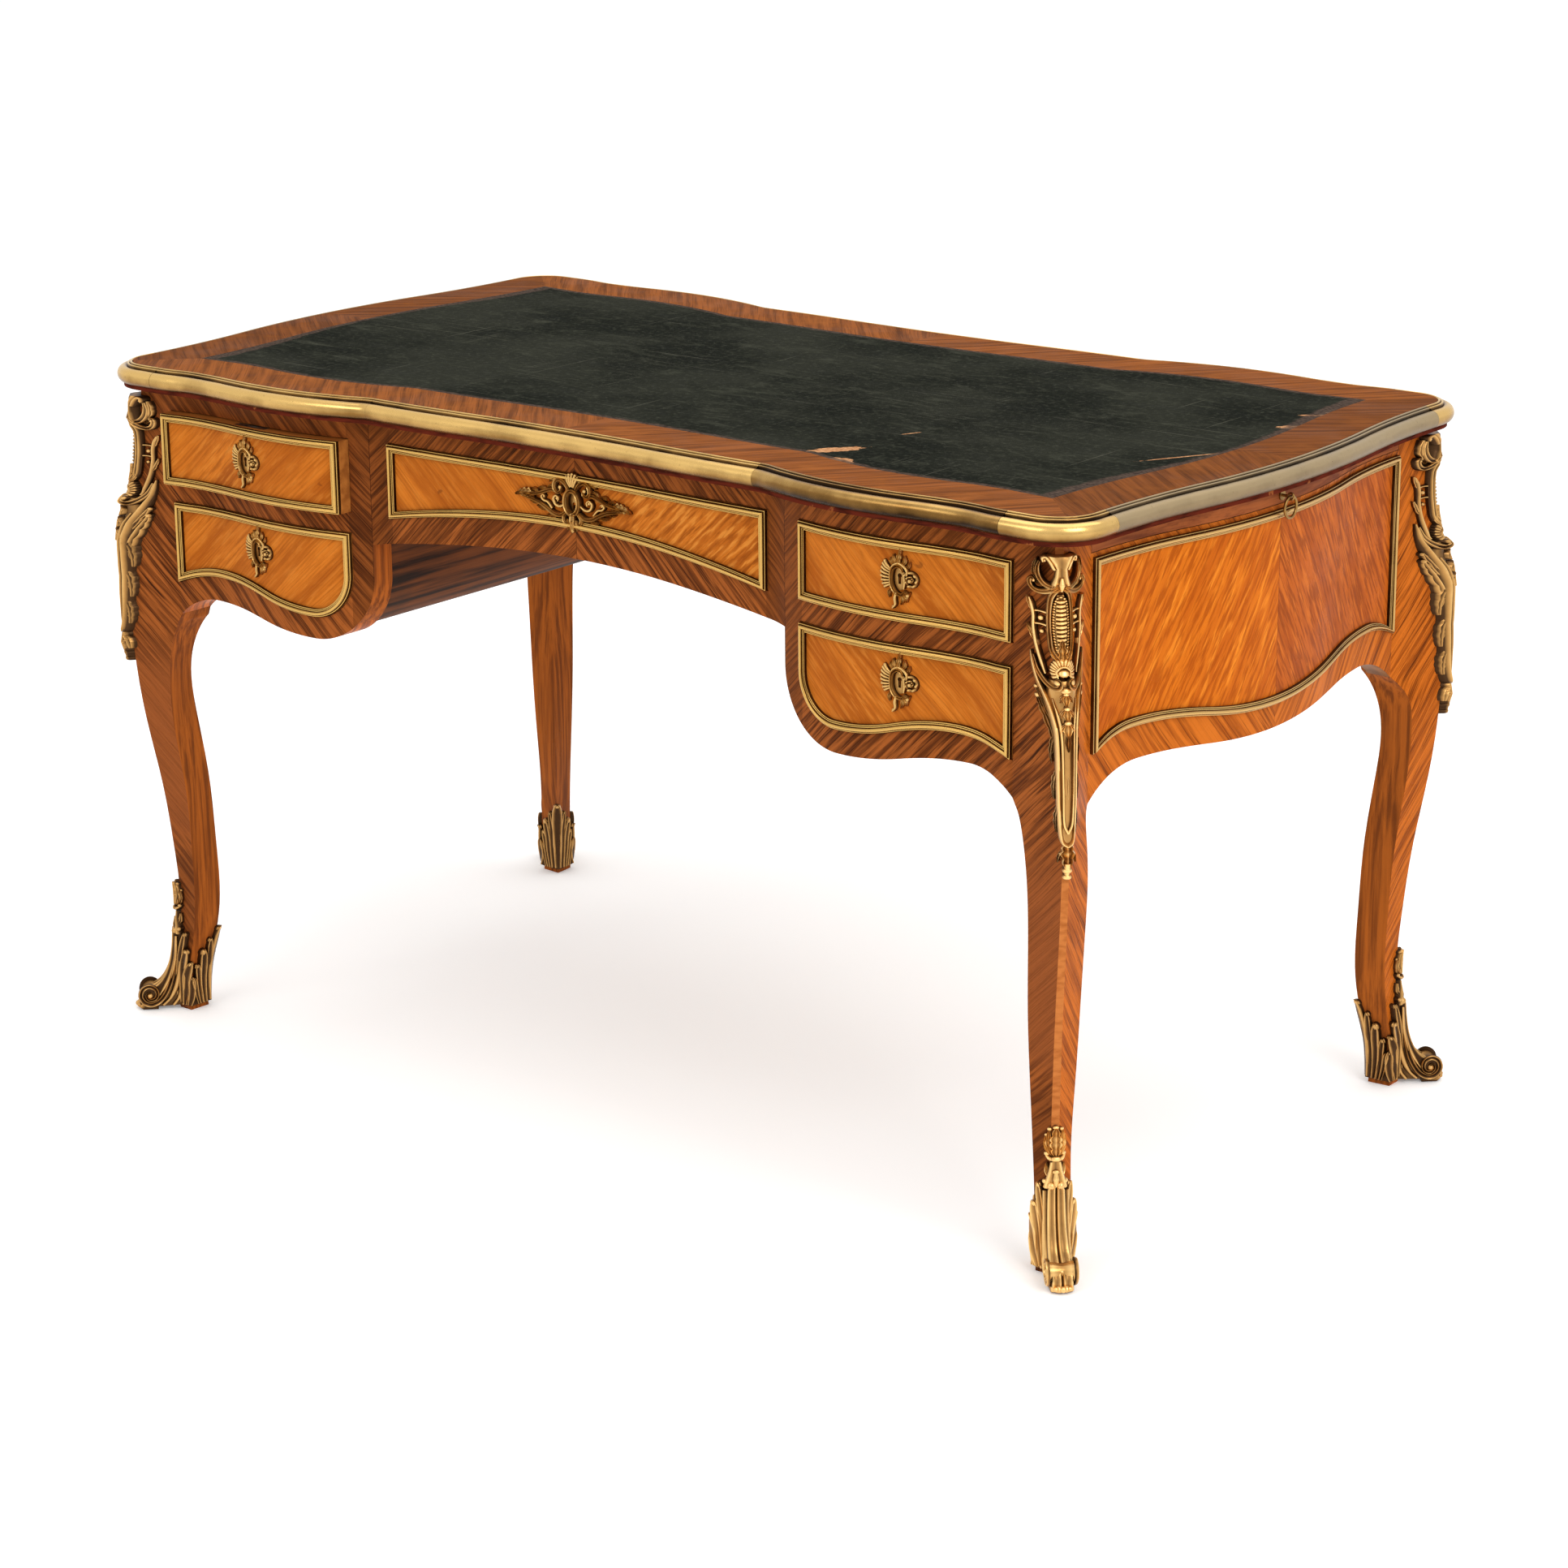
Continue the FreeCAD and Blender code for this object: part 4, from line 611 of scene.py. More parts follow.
def worn_leather():
    """Black-green leather, scuffed and scratched, with a rubbed rim and torn tan patches."""
    f = Finish("worn_leather")
    pebble = f.node("ShaderNodeTexVoronoi", {"feature": "SMOOTH_F1"}, Vector=f.place, Scale=900.0).outputs[0]
    cloud = f.noise(f.place, 5, 4, 0.55)
    scuff = f.noise(f.drawn(f.x, 15, f.y, 42, f.z), 1, 6, 0.7, 0.8)
    colour = f.mix(f.span(cloud, 0.38, 0.62), shade(22, 24, 19), shade(40, 41, 34))
    fleck = f.noise(f.place, 150, 4, 0.7)
    colour = f.mix(f.span(fleck, 0.48, 0.72, 0.0, 0.55), colour, shade(66, 67, 57))
    colour = f.mix(f.span(scuff, 0.48, 0.74, 0.0, 0.5), colour, shade(72, 73, 63))
    scratch_a = f.noise(f.drawn(f.add(f.x, f.times(f.y, 0.25)), 3, f.y, 420, 1.0), 1, 2)
    scratch_b = f.noise(f.drawn(f.x, 380, f.add(f.y, f.times(f.x, 0.4)), 4, 5.0), 1, 2)
    scratch = f.most(f.span(scratch_a, 0.68, 0.74), f.span(scratch_b, 0.70, 0.76))
    colour = f.mix(f.times(scratch, 0.45), colour, shade(112, 110, 96))
    # Torn places, where the tan underside shows.
    ragged = f.times(f.add(f.noise(f.place, 70, 4, 0.7), -0.5), 1.5)
    torn = None
    for x, y, long, wide, turn in TEARS:
        cos, sin = math.cos(math.radians(turn)), math.sin(math.radians(turn))
        off_x, off_y = f.add(f.x, -x), f.add(f.y, -y)
        far_a = f.times(f.add(f.times(off_x, cos), f.times(off_y, sin)), 1 / long)
        far_b = f.times(f.less(f.times(off_y, cos), f.times(off_x, sin)), 1 / wide)
        far = f.math("SQRT", f.add(f.times(far_a, far_a), f.times(far_b, far_b)))
        patch = f.span(f.add(far, ragged), 1.0, 0.85)
        torn = patch if torn is None else f.most(torn, patch)
    fibre = f.noise(f.drawn(f.x, 200, f.y, 500, f.z), 1, 3)
    tan = f.mix(f.span(fibre, 0.3, 0.7), shade(206, 156, 112), shade(152, 100, 64))
    colour = f.mix(torn, colour, tan)
    # Dull rubbed rim, ragged where the leather meets the border.
    out_x, out_y = f.size(f.x), f.size(f.y)
    from_front = f.less(f.curve(out_x, LEATHER_FRONT), out_y)
    from_side = f.less(f.curve(out_y, LEATHER_SIDE), out_x)
    from_rim = f.math("MINIMUM", from_front, from_side)
    rim = f.span(f.add(from_rim, f.times(ragged, 0.008)), 0.010, 0.004)
    rubbed = f.mix(f.span(fibre, 0.35, 0.65), shade(92, 76, 66), shade(58, 46, 42))
    colour = f.mix(f.times(rim, 0.8), colour, rubbed)
    height = f.add(f.times(pebble, 0.5), f.times(scuff, 0.8))
    height = f.less(height, f.times(torn, 0.8))
    rough = f.span(scuff, 0.3, 0.75, 0.5, 0.72)
    return f.surface(
        Base_Color=colour, Roughness=rough, Normal=f.bump(height, 0.35, 0.0008), Specular_IOR_Level=0.002)


def brass(name, bright, mid, dark, rough_low, rough_high, even=None, deep=0.06, metal=1.0, painted_corner_shade=0.0,
          dull_run=None):
    """Gilt brass: bright on the high places, brown in the hollows, unevenly worn."""
    f = Finish(name)
    # relief is wear on the castings and frames: bright on high places, patina in hollows. On the top's edge
    # it also carries the nose's painted highlight and shade.
    relief = even or f.node("ShaderNodeAttribute", {"attribute_name": "relief"}).outputs["Fac"]
    cloud = f.noise(f.place, 22, 4, 0.6)
    spots = f.noise(f.place, 260, 3, 0.6)
    worn = f.add(relief, f.times(f.add(cloud, -0.5), 0.5))
    if dull_run:
        # One length is browner than its neighbours.
        begin, end, loss = dull_run
        run = f.times(f.over(f.x, begin), f.under(f.x, end))
        worn = f.add(worn, f.times(run, -loss))
        worn = f.add(worn, f.span(f.noise(f.place, 9, 3, 0.6), 0.4, 0.65, 0.08, -0.12))
    if painted_corner_shade:
        # Painted shade: darker away from the front right corner.
        worn = f.add(worn, f.span(f.less(f.x, f.y), 0.9, 0.45, 0.0, -painted_corner_shade))
    colour = f.ramp(worn, (deep, dark), (deep + 0.38, mid), (deep + 0.84, bright))
    colour = f.mix(f.span(spots, 0.62, 0.8, 0.0, 0.4), colour, f.mix(0.6, mid, dark))
    rough = f.span(f.add(cloud, f.times(spots, 0.4)), 0.4, 0.9, rough_low, rough_high)
    rough = f.add(rough, f.span(relief, 0.5, 0.0, 0.0, 0.25))
    bump = f.bump(f.add(f.times(spots, 0.4), cloud), 0.08, 0.0006)
    return f.surface(Base_Color=colour, Metallic=metal, Roughness=rough, Normal=bump)


def lock_steel():
    f = Finish("lock_steel")
    cloud = f.noise(f.place, 60, 4, 0.6)
    brushed = f.noise(f.stretched(30, 400, 900), 1, 2)
    colour = f.mix(f.span(cloud, 0.35, 0.7), shade(150, 146, 138), shade(96, 84, 70))
    rough = f.span(brushed, 0.3, 0.7, 0.3, 0.5)
    return f.surface(Base_Color=colour, Metallic=1.0, Roughness=rough, Normal=f.bump(brushed, 0.1, 0.0003))


banding = crossbanding()
pedestal_veneer = drawer_veneer("pedestal_drawer_veneer", False)
middle_veneer = drawer_veneer("centre_drawer_veneer", True)
panel_veneer = side_veneer()
top_veneer = border_veneer()
leather = worn_leather()
box_oak = inside_wood("drawer_box_oak", shade(214, 176, 124), shade(170, 126, 78))
frame_oak = inside_wood("inner_frame_oak", shade(128, 88, 54), shade(84, 54, 32))
wall_wood = inside_wood("kneehole_wall_wood", shade(112, 60, 24), shade(34, 17, 8))
slide_wood = inside_wood("slide_mahogany", shade(176, 96, 46), shade(124, 60, 28))
edge_brass = brass("edge_brass", shade(222, 182, 110), shade(134, 98, 50), shade(44, 29, 15), 0.15, 0.32,
                   dull_run=(FRONT_JOINT * MM, FRONT_END * MM, 0.3))
frame_brass = brass("frame_brass", shade(206, 164, 90), shade(124, 89, 42), shade(36, 23, 12), 0.16, 0.34)
dull_brass = brass("dull_side_brass", shade(172, 150, 114), shade(118, 98, 70), shade(40, 31, 22), 0.26, 0.44)
side_frame_brass = brass("side_frame_brass", shade(204, 164, 100), shade(126, 94, 50), shade(32, 22, 12),
                         0.2, 0.36)
ring_brass = brass("ring_brass", shade(176, 138, 78), shade(126, 92, 48), shade(60, 42, 22), 0.24, 0.4, 0.62)
gilt_bronze = brass("gilt_bronze", shade(250, 206, 132), shade(182, 134, 74), shade(70, 46, 24), 0.24, 0.4,
                    deep=0.13, metal=0.88, painted_corner_shade=0.3)
aged_bronze = brass("aged_bronze", shade(208, 168, 102), shade(158, 118, 66), shade(64, 43, 23), 0.28, 0.46)
steel = lock_steel()


def geometry_tree(name, inputs):
    """A geometry tree with its two ends; inputs gives the kind of each further input by its name."""
    tree = bpy.data.node_groups.new(name, "GeometryNodeTree")
    for way in ("INPUT", "OUTPUT"):
        tree.interface.new_socket("Geometry", in_out=way, socket_type="NodeSocketGeometry")
    for label, kind in inputs.items():
        tree.interface.new_socket(label, in_out="INPUT", socket_type=kind)
    return tree, tree.nodes.new("NodeGroupInput"), tree.nodes.new("NodeGroupOutput")


SHARP_ANGLE = 0.45


# The CAD pieces keep their shape; their facets are shaded smooth up to each real edge.
def soft_shading_tree():
    tree, start, end = geometry_tree("smooth_up_to_edges", {"Sharp angle": "NodeSocketFloat"})
    tree.interface.items_tree["Sharp angle"].default_value = SHARP_ANGLE
    weld = tree.nodes.new("GeometryNodeMergeByDistance")
    weld.inputs["Distance"].default_value = 0.00001
    smooth = tree.nodes.new("GeometryNodeSetShadeSmooth")
    smooth.domain = "FACE"
    sharp = tree.nodes.new("GeometryNodeSetShadeSmooth")
    sharp.domain = "EDGE"
    sharp.inputs["Shade Smooth"].default_value = False
    angle = tree.nodes.new("GeometryNodeInputMeshEdgeAngle")
    over = tree.nodes.new("FunctionNodeCompare")
    over.operation = "GREATER_THAN"
    link = tree.links.new
    link(start.outputs["Geometry"], weld.inputs["Geometry"])
    link(weld.outputs["Geometry"], smooth.inputs["Geometry"])
    link(smooth.outputs["Geometry"], sharp.inputs["Geometry"])
    link(angle.outputs["Unsigned Angle"], over.inputs[0])
    link(start.outputs["Sharp angle"], over.inputs[1])
    link(over.outputs[0], sharp.inputs["Selection"])
    link(sharp.outputs["Geometry"], end.inputs["Geometry"])
    return tree


soft_shading = soft_shading_tree()


def dress(node, material):
    """Give a CAD piece its finish."""
    piece = cad_nodes[node]
    piece.data.materials.clear()
    piece.data.materials.append(material)
    piece.modifiers.new("smooth", "NODES").node_group = soft_shading


DRAWERS = ("centre_drawer", "upper_right_drawer", "upper_left_drawer", "lower_right_drawer",
           "lower_left_drawer")
for node in ("leg_front_right", "leg_front_left", "leg_back_right", "leg_back_left", "back_panels",
             "front_top_rail", "centre_apron", "front_stiles", "pedestal_rails", "pedestal_apron_right",
             "pedestal_apron_left"):
    dress(node, banding)
for node in ("side_panel_right", "side_panel_left"):
    dress(node, panel_veneer)
for node in ("kneehole_walls", "pedestal_bottoms"):
    dress(node, wall_wood)
for node in ("drawer_runners", "slide_bearers", "top_bearers"):
    dress(node, frame_oak)
for node in ("slide_right", "slide_left"):
    dress(node, slide_wood)
dress("top_board", top_veneer)
dress("top_leather", leather)
for drawer in DRAWERS:
    dress(drawer + "_front", middle_veneer if drawer == "centre_drawer" else pedestal_veneer)
    dress(drawer + "_box", box_oak)
    dress(drawer + "_lock", steel)
    dress(drawer + "_bolt", steel)
for node in ("slide_staple_right", "slide_staple_left", "slide_ring_right", "slide_ring_left"):
    dress(node, ring_brass)


# Brass frames: a half round, a groove and two fine reeds, mitred at the corners.
def half_round(centre, radius, level, begin, end, steps):
    """Points over a bead: place across and height, with how bright its top is worn."""
    made = []
    for n in range(steps + 1):
        angle = math.radians(begin + (end - begin) * n / steps)
        high = math.sin(angle)
        made.append((centre - radius * math.cos(angle), level + radius * high, 0.12 + 0.88 * max(high, 0)))
    return made


FRAME_SECTION = [(0, 0, 0.1), (0, 3.2, 0.3)]
FRAME_SECTION += half_round(0.7, 0.7, 3.4, 20, 160, 4) + half_round(3.6, 2.1, 4.6, -10, 190, 10)
FRAME_SECTION += half_round(6.5, 0.75, 3.7, 0, 180, 5) + half_round(8.1, 0.75, 3.1, 0, 180, 5)
FRAME_SECTION += [(9, 2.2, 0.2), (9, 0, 0.05)]


def framed(loop, place):
    """A closed moulding round a loop, standing on a curved face."""
    rows = [[place(u, v, proud) for u, v in loop(inset)] for inset, proud, tone in FRAME_SECTION]
    around, count = len(rows[0]), len(rows)
    points = [p for row in rows for p in row]
    tones = [tone for inset, proud, tone in FRAME_SECTION for n in range(around)]
    faces = []
    for k in range(count):
        below, above = k * around, (k + 1) % count * around
        for n in range(around):
            after = (n + 1) % around
            faces.append((below + n, below + after, above + after, above + n))
    return np.array(points), faces, tones


OPEN_DRAWER, AJAR = "upper_left_drawer", -14
frame_shapes = {"upper": framed(upper_loop, on_front), "lower": framed(lower_loop, on_front),
                "centre": framed(centre_loop, on_front), "side": framed(side_loop, on_side)}
for drawer in DRAWERS:
    points, faces, tones = turned(frame_shapes[drawer.split("_")[0]], (0,) if "left" in drawer else ())
    if drawer == OPEN_DRAWER:
        points = np.array(points) + (0, AJAR, 0)
    piece = make_piece(drawer + "_frame", (points, faces, tones), frame_brass)
    give(piece, drawer, "gilt_brass", drawer + "_mounts")

for name, node, finish, parts in (
        ("side_panel_frames", "side_frames", side_frame_brass, (("side", ()), ("side", (0,)))),
        ("back_panel_frames", "back_frames", frame_brass,
         (("upper", (1,)), ("upper", (1, 0)), ("lower", (1,)), ("lower", (1, 0)), ("centre", (1,))))):
    shape = joined([turned(frame_shapes[part], axes) for part, axes in parts])
    give(make_piece(name, shape, finish), "desk", "gilt_brass", node)


# Brass edge of the top: its section is carried along each length by geometry nodes.
def edge_tree():
    tree, start, end = geometry_tree("brass_edge_along_path",
                                     {"Section": "NodeSocketObject", "Finish": "NodeSocketMaterial"})
    path = tree.nodes.new("GeometryNodeMeshToCurve")
    upright = tree.nodes.new("GeometryNodeSetCurveNormal")
    upright.mode = "Z_UP"
    section = tree.nodes.new("GeometryNodeObjectInfo")
    profile = tree.nodes.new("GeometryNodeMeshToCurve")
    sweep = tree.nodes.new("GeometryNodeCurveToMesh")
    sweep.inputs["Fill Caps"].default_value = True
    real = tree.nodes.new("GeometryNodeRealizeInstances")
    finish = tree.nodes.new("GeometryNodeSetMaterial")
    link = tree.links.new
    link(start.outputs["Geometry"], path.inputs["Mesh"])
    link(path.outputs["Curve"], upright.inputs["Curve"])
    link(start.outputs["Section"], section.inputs["Object"])
    link(section.outputs["Geometry"], profile.inputs["Mesh"])
    link(upright.outputs["Curve"], sweep.inputs["Curve"])
    link(profile.outputs["Curve"], sweep.inputs["Profile Curve"])
    link(sweep.outputs["Mesh"], real.inputs["Geometry"])
    link(real.outputs["Geometry"], finish.inputs["Geometry"])
    link(start.outputs["Finish"], finish.inputs["Material"])
    link(finish.outputs["Geometry"], end.inputs["Geometry"])
    return tree


def wire(name, lines, closed=False, tones=None):
    """Loose edges through points, in millimetres, for a tree to work from."""
    points, edges = [], []
    for line in lines:
        first = len(points)
        points += [tuple(float(c) * MM for c in p) for p in line]
        edges += [(n, n + 1) for n in range(first, len(points) - 1)]
        if closed:
            edges.append((len(points) - 1, first))
    mesh = bpy.data.meshes.new(name)
    mesh.from_pydata(points, edges, [])
    if tones is not None:
        set_relief(mesh, tones)
    return placed(name, mesh)


def grown(name, source, tree, sharp=35, **inputs):
    """Run a tree on a piece and keep the plain mesh it makes."""
    modifier = source.modifiers.new("grow", "NODES")
    modifier.node_group = tree
    for item in tree.interface.items_tree:
        if item.in_out == "INPUT" and item.name in inputs:
            modifier[item.identifier] = inputs[item.name]
    source.data.update()
    bpy.context.view_layer.update()
    evaluated = source.evaluated_get(bpy.context.evaluated_depsgraph_get())
    mesh = bpy.data.meshes.new_from_object(evaluated)
    mesh.name = name
    soften(mesh, sharp)
    source.modifiers.clear()
    bpy.data.objects.remove(source)
    return placed(name, mesh)


# Painted highlight and shade on the nose of the edge, from its top round to its foot: brightest high on the
# front, dark on the underside.
NOSE_RUN = (0, 0.12, 0.26, 0.45, 0.62, 0.8, 1)
NOSE_PAINTED_LIGHT = (0.1, 0.7, 1.0, 0.92, 0.62, 0.4, 0.1)


def ovolo(centre, reach, level, tall, begin, end, steps):
    """A tall rounded nose, carrying a painted highlight high on it and painted shade under it."""
    made = []
    for n in range(steps + 1):
        angle = math.radians(begin + (end - begin) * n / steps)
        tone = np.interp(n / steps, NOSE_RUN, NOSE_PAINTED_LIGHT)
        made.append((centre - reach * math.cos(angle), level + tall * math.sin(angle), tone))
    return made


FILLET_FACE = 11.2
EDGE_SECTION = [(0, -17, 0.1), (0, -0.6, 0.1)]
EDGE_SECTION += half_round(1.6, 1.5, -1.2, 10, 170, 6) + [(3.3, -2.9, 0.0)]
EDGE_SECTION += half_round(4.9, 1.5, -2.7, 10, 170, 6) + [(6.5, -5.6, 0.0)]
EDGE_SECTION += ovolo(9.6, 8.4, -13.4, 9.2, 66, 259, 24) + [(FILLET_FACE, -17, 0.05)]
edge_section = wire("edge_section", [[(out, -rise, 0) for out, rise, tone in EDGE_SECTION]], True,
                    [tone for out, rise, tone in EDGE_SECTION])
edge_along = edge_tree()
GAP = 0.15


def between(points, low, high):
    """The stretch of a path between two places along X, a hair short of both."""
    xs = points[:, 0]
    inner = points[(xs > low + GAP) & (xs < high - GAP)]
    ends = [np.array((x, np.interp(x, xs, points[:, 1]))) for x in (low + GAP, high - GAP)]
    return np.array([ends[0], *inner, ends[1]])


front_right = np.column_stack((FRONT_X, -FRONT_DEPTH))
front_line = np.vstack((front_right[::-1] * (-1, 1), front_right[1:]))
lengths = [between(front_line, low, high) for low, high in (
    (-FRONT_JOINT, FRONT_JOINT), (FRONT_JOINT, FRONT_END), (-FRONT_END, -FRONT_JOINT))]
CORNER_RADIUS, SIDE_END, SIDE_BULGE = 40, 300, 678
corner_trail = Trail(FRONT_END + GAP, -TOP_FRONT).line(TOP_END - CORNER_RADIUS, -TOP_FRONT, 3)
corner_trail.arc(TOP_END, CORNER_RADIUS - TOP_FRONT, CORNER_RADIUS, 1, 16).line(TOP_END, -SIDE_END - GAP, 2)
corner = np.array(corner_trail.points)
side_trail = Trail(GAP - SIDE_END, TOP_END)
side_trail.ogee(0, SIDE_BULGE, 0.5, 18).ogee(SIDE_END - GAP, TOP_END, 0.5, 18)
side_run = np.array(side_trail.points)[:, ::-1]
TOP_HEIGHT = 780


def turned_over(line, axis):
    """A plan line mirrored, run the other way so that the brass stays on the outside."""
    flip = (-1, 1) if axis == 0 else (1, -1)
    return line[::-1] * flip


def at_top(line):
    return [(x, y, TOP_HEIGHT) for x, y in line]


corners = [corner, turned_over(corner, 0)]
corners += [turned_over(one, 1) for one in corners]
for name, node, runs in (
        ("top_edge_front", "edge_front", lengths),
        ("top_edge_back", "edge_back", [turned_over(one, 1) for one in lengths]),
        ("top_edge_sides", "edge_sides", [side_run, turned_over(side_run, 0)]),
        ("top_edge_corners", "edge_corners", corners)):
    source = wire(name + "_path", [at_top(line) for line in runs])
    finish = dull_brass if node == "edge_sides" else edge_brass
    edge = grown(name, source, edge_along, Section=edge_section, Finish=finish)
    give(edge, "desk", "gilt_brass", node)
bpy.data.objects.remove(edge_section)

# Cast bronzes: strips, leaves and beads raised on a sheet whose place is across, up and out.
ROUND = [(-1, 0, 0.1), (-0.92, 0.4, 0.3), (-0.7, 0.72, 0.6), (-0.38, 0.93, 0.85), (0, 1, 1.0),
         (0.38, 0.93, 0.85), (0.7, 0.72, 0.6), (0.92, 0.4, 0.3), (1, 0, 0.1)]
GROOVED = [(-1, 0.1, 0.15), (-0.9, 0.7, 0.6), (-0.68, 1, 1.0), (-0.42, 0.8, 0.55), (0, 0.45, 0.3),
           (0.42, 0.8, 0.55), (0.68, 1, 1.0), (0.9, 0.7, 0.6), (1, 0.1, 0.15)]
BEVEL = [(-1, 0.05, 0.1), (-0.8, 0.4, 0.45), (-0.15, 0.95, 0.9), (0.1, 1, 1.0), (0.55, 0.55, 0.6),
         (1, 0.05, 0.1)]
LEAF = [(-1, 0.55, 0.75), (-0.82, 0.72, 0.9), (-0.5, 0.4, 0.35), (-0.16, 0.6, 0.5), (0, 1, 1.0),
        (0.16, 0.6, 0.5), (0.5, 0.4, 0.35), (0.82, 0.72, 0.9), (1, 0.55, 0.75)]
FLAT = [(-1, 0.5, 0.3), (-0.8, 0.9, 0.4), (-0.4, 0.8, 0.32), (0, 0.75, 0.3), (0.4, 0.8, 0.32),
        (0.8, 0.9, 0.4), (1, 0.5, 0.3)]


def flowing(line, loop, spacing):
    """A smooth line through points, at even steps, with its headings and shares of its run."""
    knots = np.array(line, float)
    count = len(knots)
    spans = count if loop else count - 1
    made, shares = [], []
    for n in range(spans):
        if loop:
            a, b, c, d = (knots[(n + k) % count] for k in (-1, 0, 1, 2))
        else:
            b, c = knots[n], knots[n + 1]
            a = knots[n - 1] if n else b * 2 - c
            d = knots[n + 2] if n + 2 < count else c * 2 - b
        steps = max(3, int(np.linalg.norm(c - b) / spacing))
        for k in range(steps):
            t = k / steps
            made.append(0.5 * (2 * b + (c - a) * t + (2 * a - 5 * b + 4 * c - d) * t ** 2
                               + (3 * b - a - 3 * c + d) * t ** 3))
            shares.append((n + t) / spans)
    if not loop:
        made.append(knots[-1])
        shares.append(1.0)
    made = np.array(made)
    if loop:
        ahead, behind = np.roll(made, -1, axis=0), np.roll(made, 1, axis=0)
        heading = ahead - behind
    else:
        heading = np.gradient(made, axis=0)
    heading /= np.maximum(np.linalg.norm(heading, axis=1), 1e-9)[:, None]
    return made, heading, np.array(shares)


def run_along(line):
    """How far along a line each of its points lies."""
    return np.concatenate(([0], np.cumsum(np.linalg.norm(np.diff(line, axis=0), axis=1))))


class Casting:
    """Raised work on a sheet; the sheet's place function bends it onto what carries it."""

    def __init__(self, place, foot=-1.2):
        self.place = place
        self.foot = foot
        self.points, self.faces, self.relief = [], [], []

    def shape(self):
        return self.points, self.faces, self.relief

    def skin(self, rows, tones, around, flip, ends):
        """Join rows of sheet points, each a closed section, into a skin."""
        first, width = len(self.points), len(rows[0])
        for row, row_tones in zip(rows, tones):
            self.points += [self.place(*p) for p in row]
            self.relief += list(row_tones)
        faces = []
        for n in range(len(rows) - (0 if around else 1)):
            here, there = first + n * width, first + (n + 1) % len(rows) * width
            for k in range(width):
                after = (k + 1) % width
                faces.append((here + k, there + k, there + after, here + after))
        if ends:
            faces.append(tuple(first + k for k in range(width)))
            last = first + (len(rows) - 1) * width
            faces.append(tuple(last + k for k in range(width))[::-1])
        self.faces += [face[::-1] for face in faces] if flip else faces

    def strip(self, line, width, height, section=ROUND, lift=0.0, loop=False, pair=False, lobes=0, flutes=0,
              tone=1.0, spacing=1.3, tip=0.0):
        """A raised strip along a line; its width, height and lift may change along it, its tip be rounded."""
        path, heading, share = flowing(line, loop, spacing)

        def along(values):
            values = np.atleast_1d(values)
            return np.interp(share, np.linspace(0, 1, len(values)), values)

        wide, tall, level = along(width) / 2, along(height), along(lift)
        if tip:
            near = np.clip((share - 1 + tip) / tip, 0, 1)
            wide = wide * np.sqrt(1 - near ** 2 * 0.96)
            tall = tall * (1 - 0.3 * near ** 2)
        if lobes:
            wide = wide * (0.62 + 0.38 * np.abs(np.sin(math.pi * lobes * share)))
        ribs = 0.72 + 0.28 * np.cos(2 * math.pi * flutes * share) if flutes else np.ones(len(share))
        if flutes:
            wide = wide * (0.94 + 0.06 * ribs)
        for hand in (1, -1) if pair else (1,):
            rows, tones = [], []
            for p, way, w, h, base, rib in zip(path, heading, wide, tall, level, ribs):
                out = np.array((-way[1], way[0]))
                row = []
                for c, k, shine in section:
                    spot = p + out * (c * w)
                    row.append((spot[0] * hand, spot[1], base + h * k * rib))
                for c in (1, -1):
                    spot = p + out * (c * w)
                    row.append((spot[0] * hand, spot[1], self.foot))
                rows.append(row)
                tones.append([shine * tone * rib for c, k, shine in section] + [0.0, 0.0])
            self.skin(rows, tones, loop, hand < 0, not loop)

    def tongue(self, line, width, height=3.4, lift=(2.0, 2.6, 4.2), pair=True):
        """A smooth leaf of the shoe, hollow along its middle and curled over at its tip."""
        self.strip(line, width, height, GROOVED, lift, pair=pair, tip=0.22, spacing=1.0)
        self.bead(line[-1][0], line[-1][1] - 3, width[-1] * 0.46, lift[-1] - 1.2, pair, 0.9)

    def leaf(self, line, width, height, lift, lobes=0, pair=False, tone=1.0):
        """A ribbed leaf with curled edges, cut into lobes."""
        self.strip(line, width, height, LEAF, lift, pair=pair, lobes=lobes, tone=tone, spacing=0.9)

    def bead(self, across, up, radius, lift=0.0, pair=False, tall=1.0):
        """A round boss."""
        for hand in (1, -1) if pair else (1,):
            rows, tones = [], []
            for n in range(1, 7):
                angle = math.pi / 2 * n / 6.5
                ring = []
                for k in range(10):
                    turn = 2 * math.pi * k / 10 * hand
                    r = radius * math.sin(angle)
                    ring.append(((across + r * math.cos(turn)) * hand, up + r * math.sin(turn) * hand,
                                 lift + radius * tall * math.cos(angle)))
                rows.append(ring)
                tones.append([0.25 + 0.75 * math.cos(angle)] * 10)
            rows.append([(a, b, self.foot) for a, b, c in rows[-1]])
            tones.append([0.0] * 10)
            self.skin(rows, tones, False, True, True)
        return self

    def chain(self, loop, count, radius, lift):
        """A row of beads round a closed line."""
        path = flowing(loop, True, 0.6)[0]
        run = run_along(path)
        for n in range(count):
            spot = run[-1] * n / count
            self.bead(np.interp(spot, run, path[:, 0]), np.interp(spot, run, path[:, 1]), radius, lift)


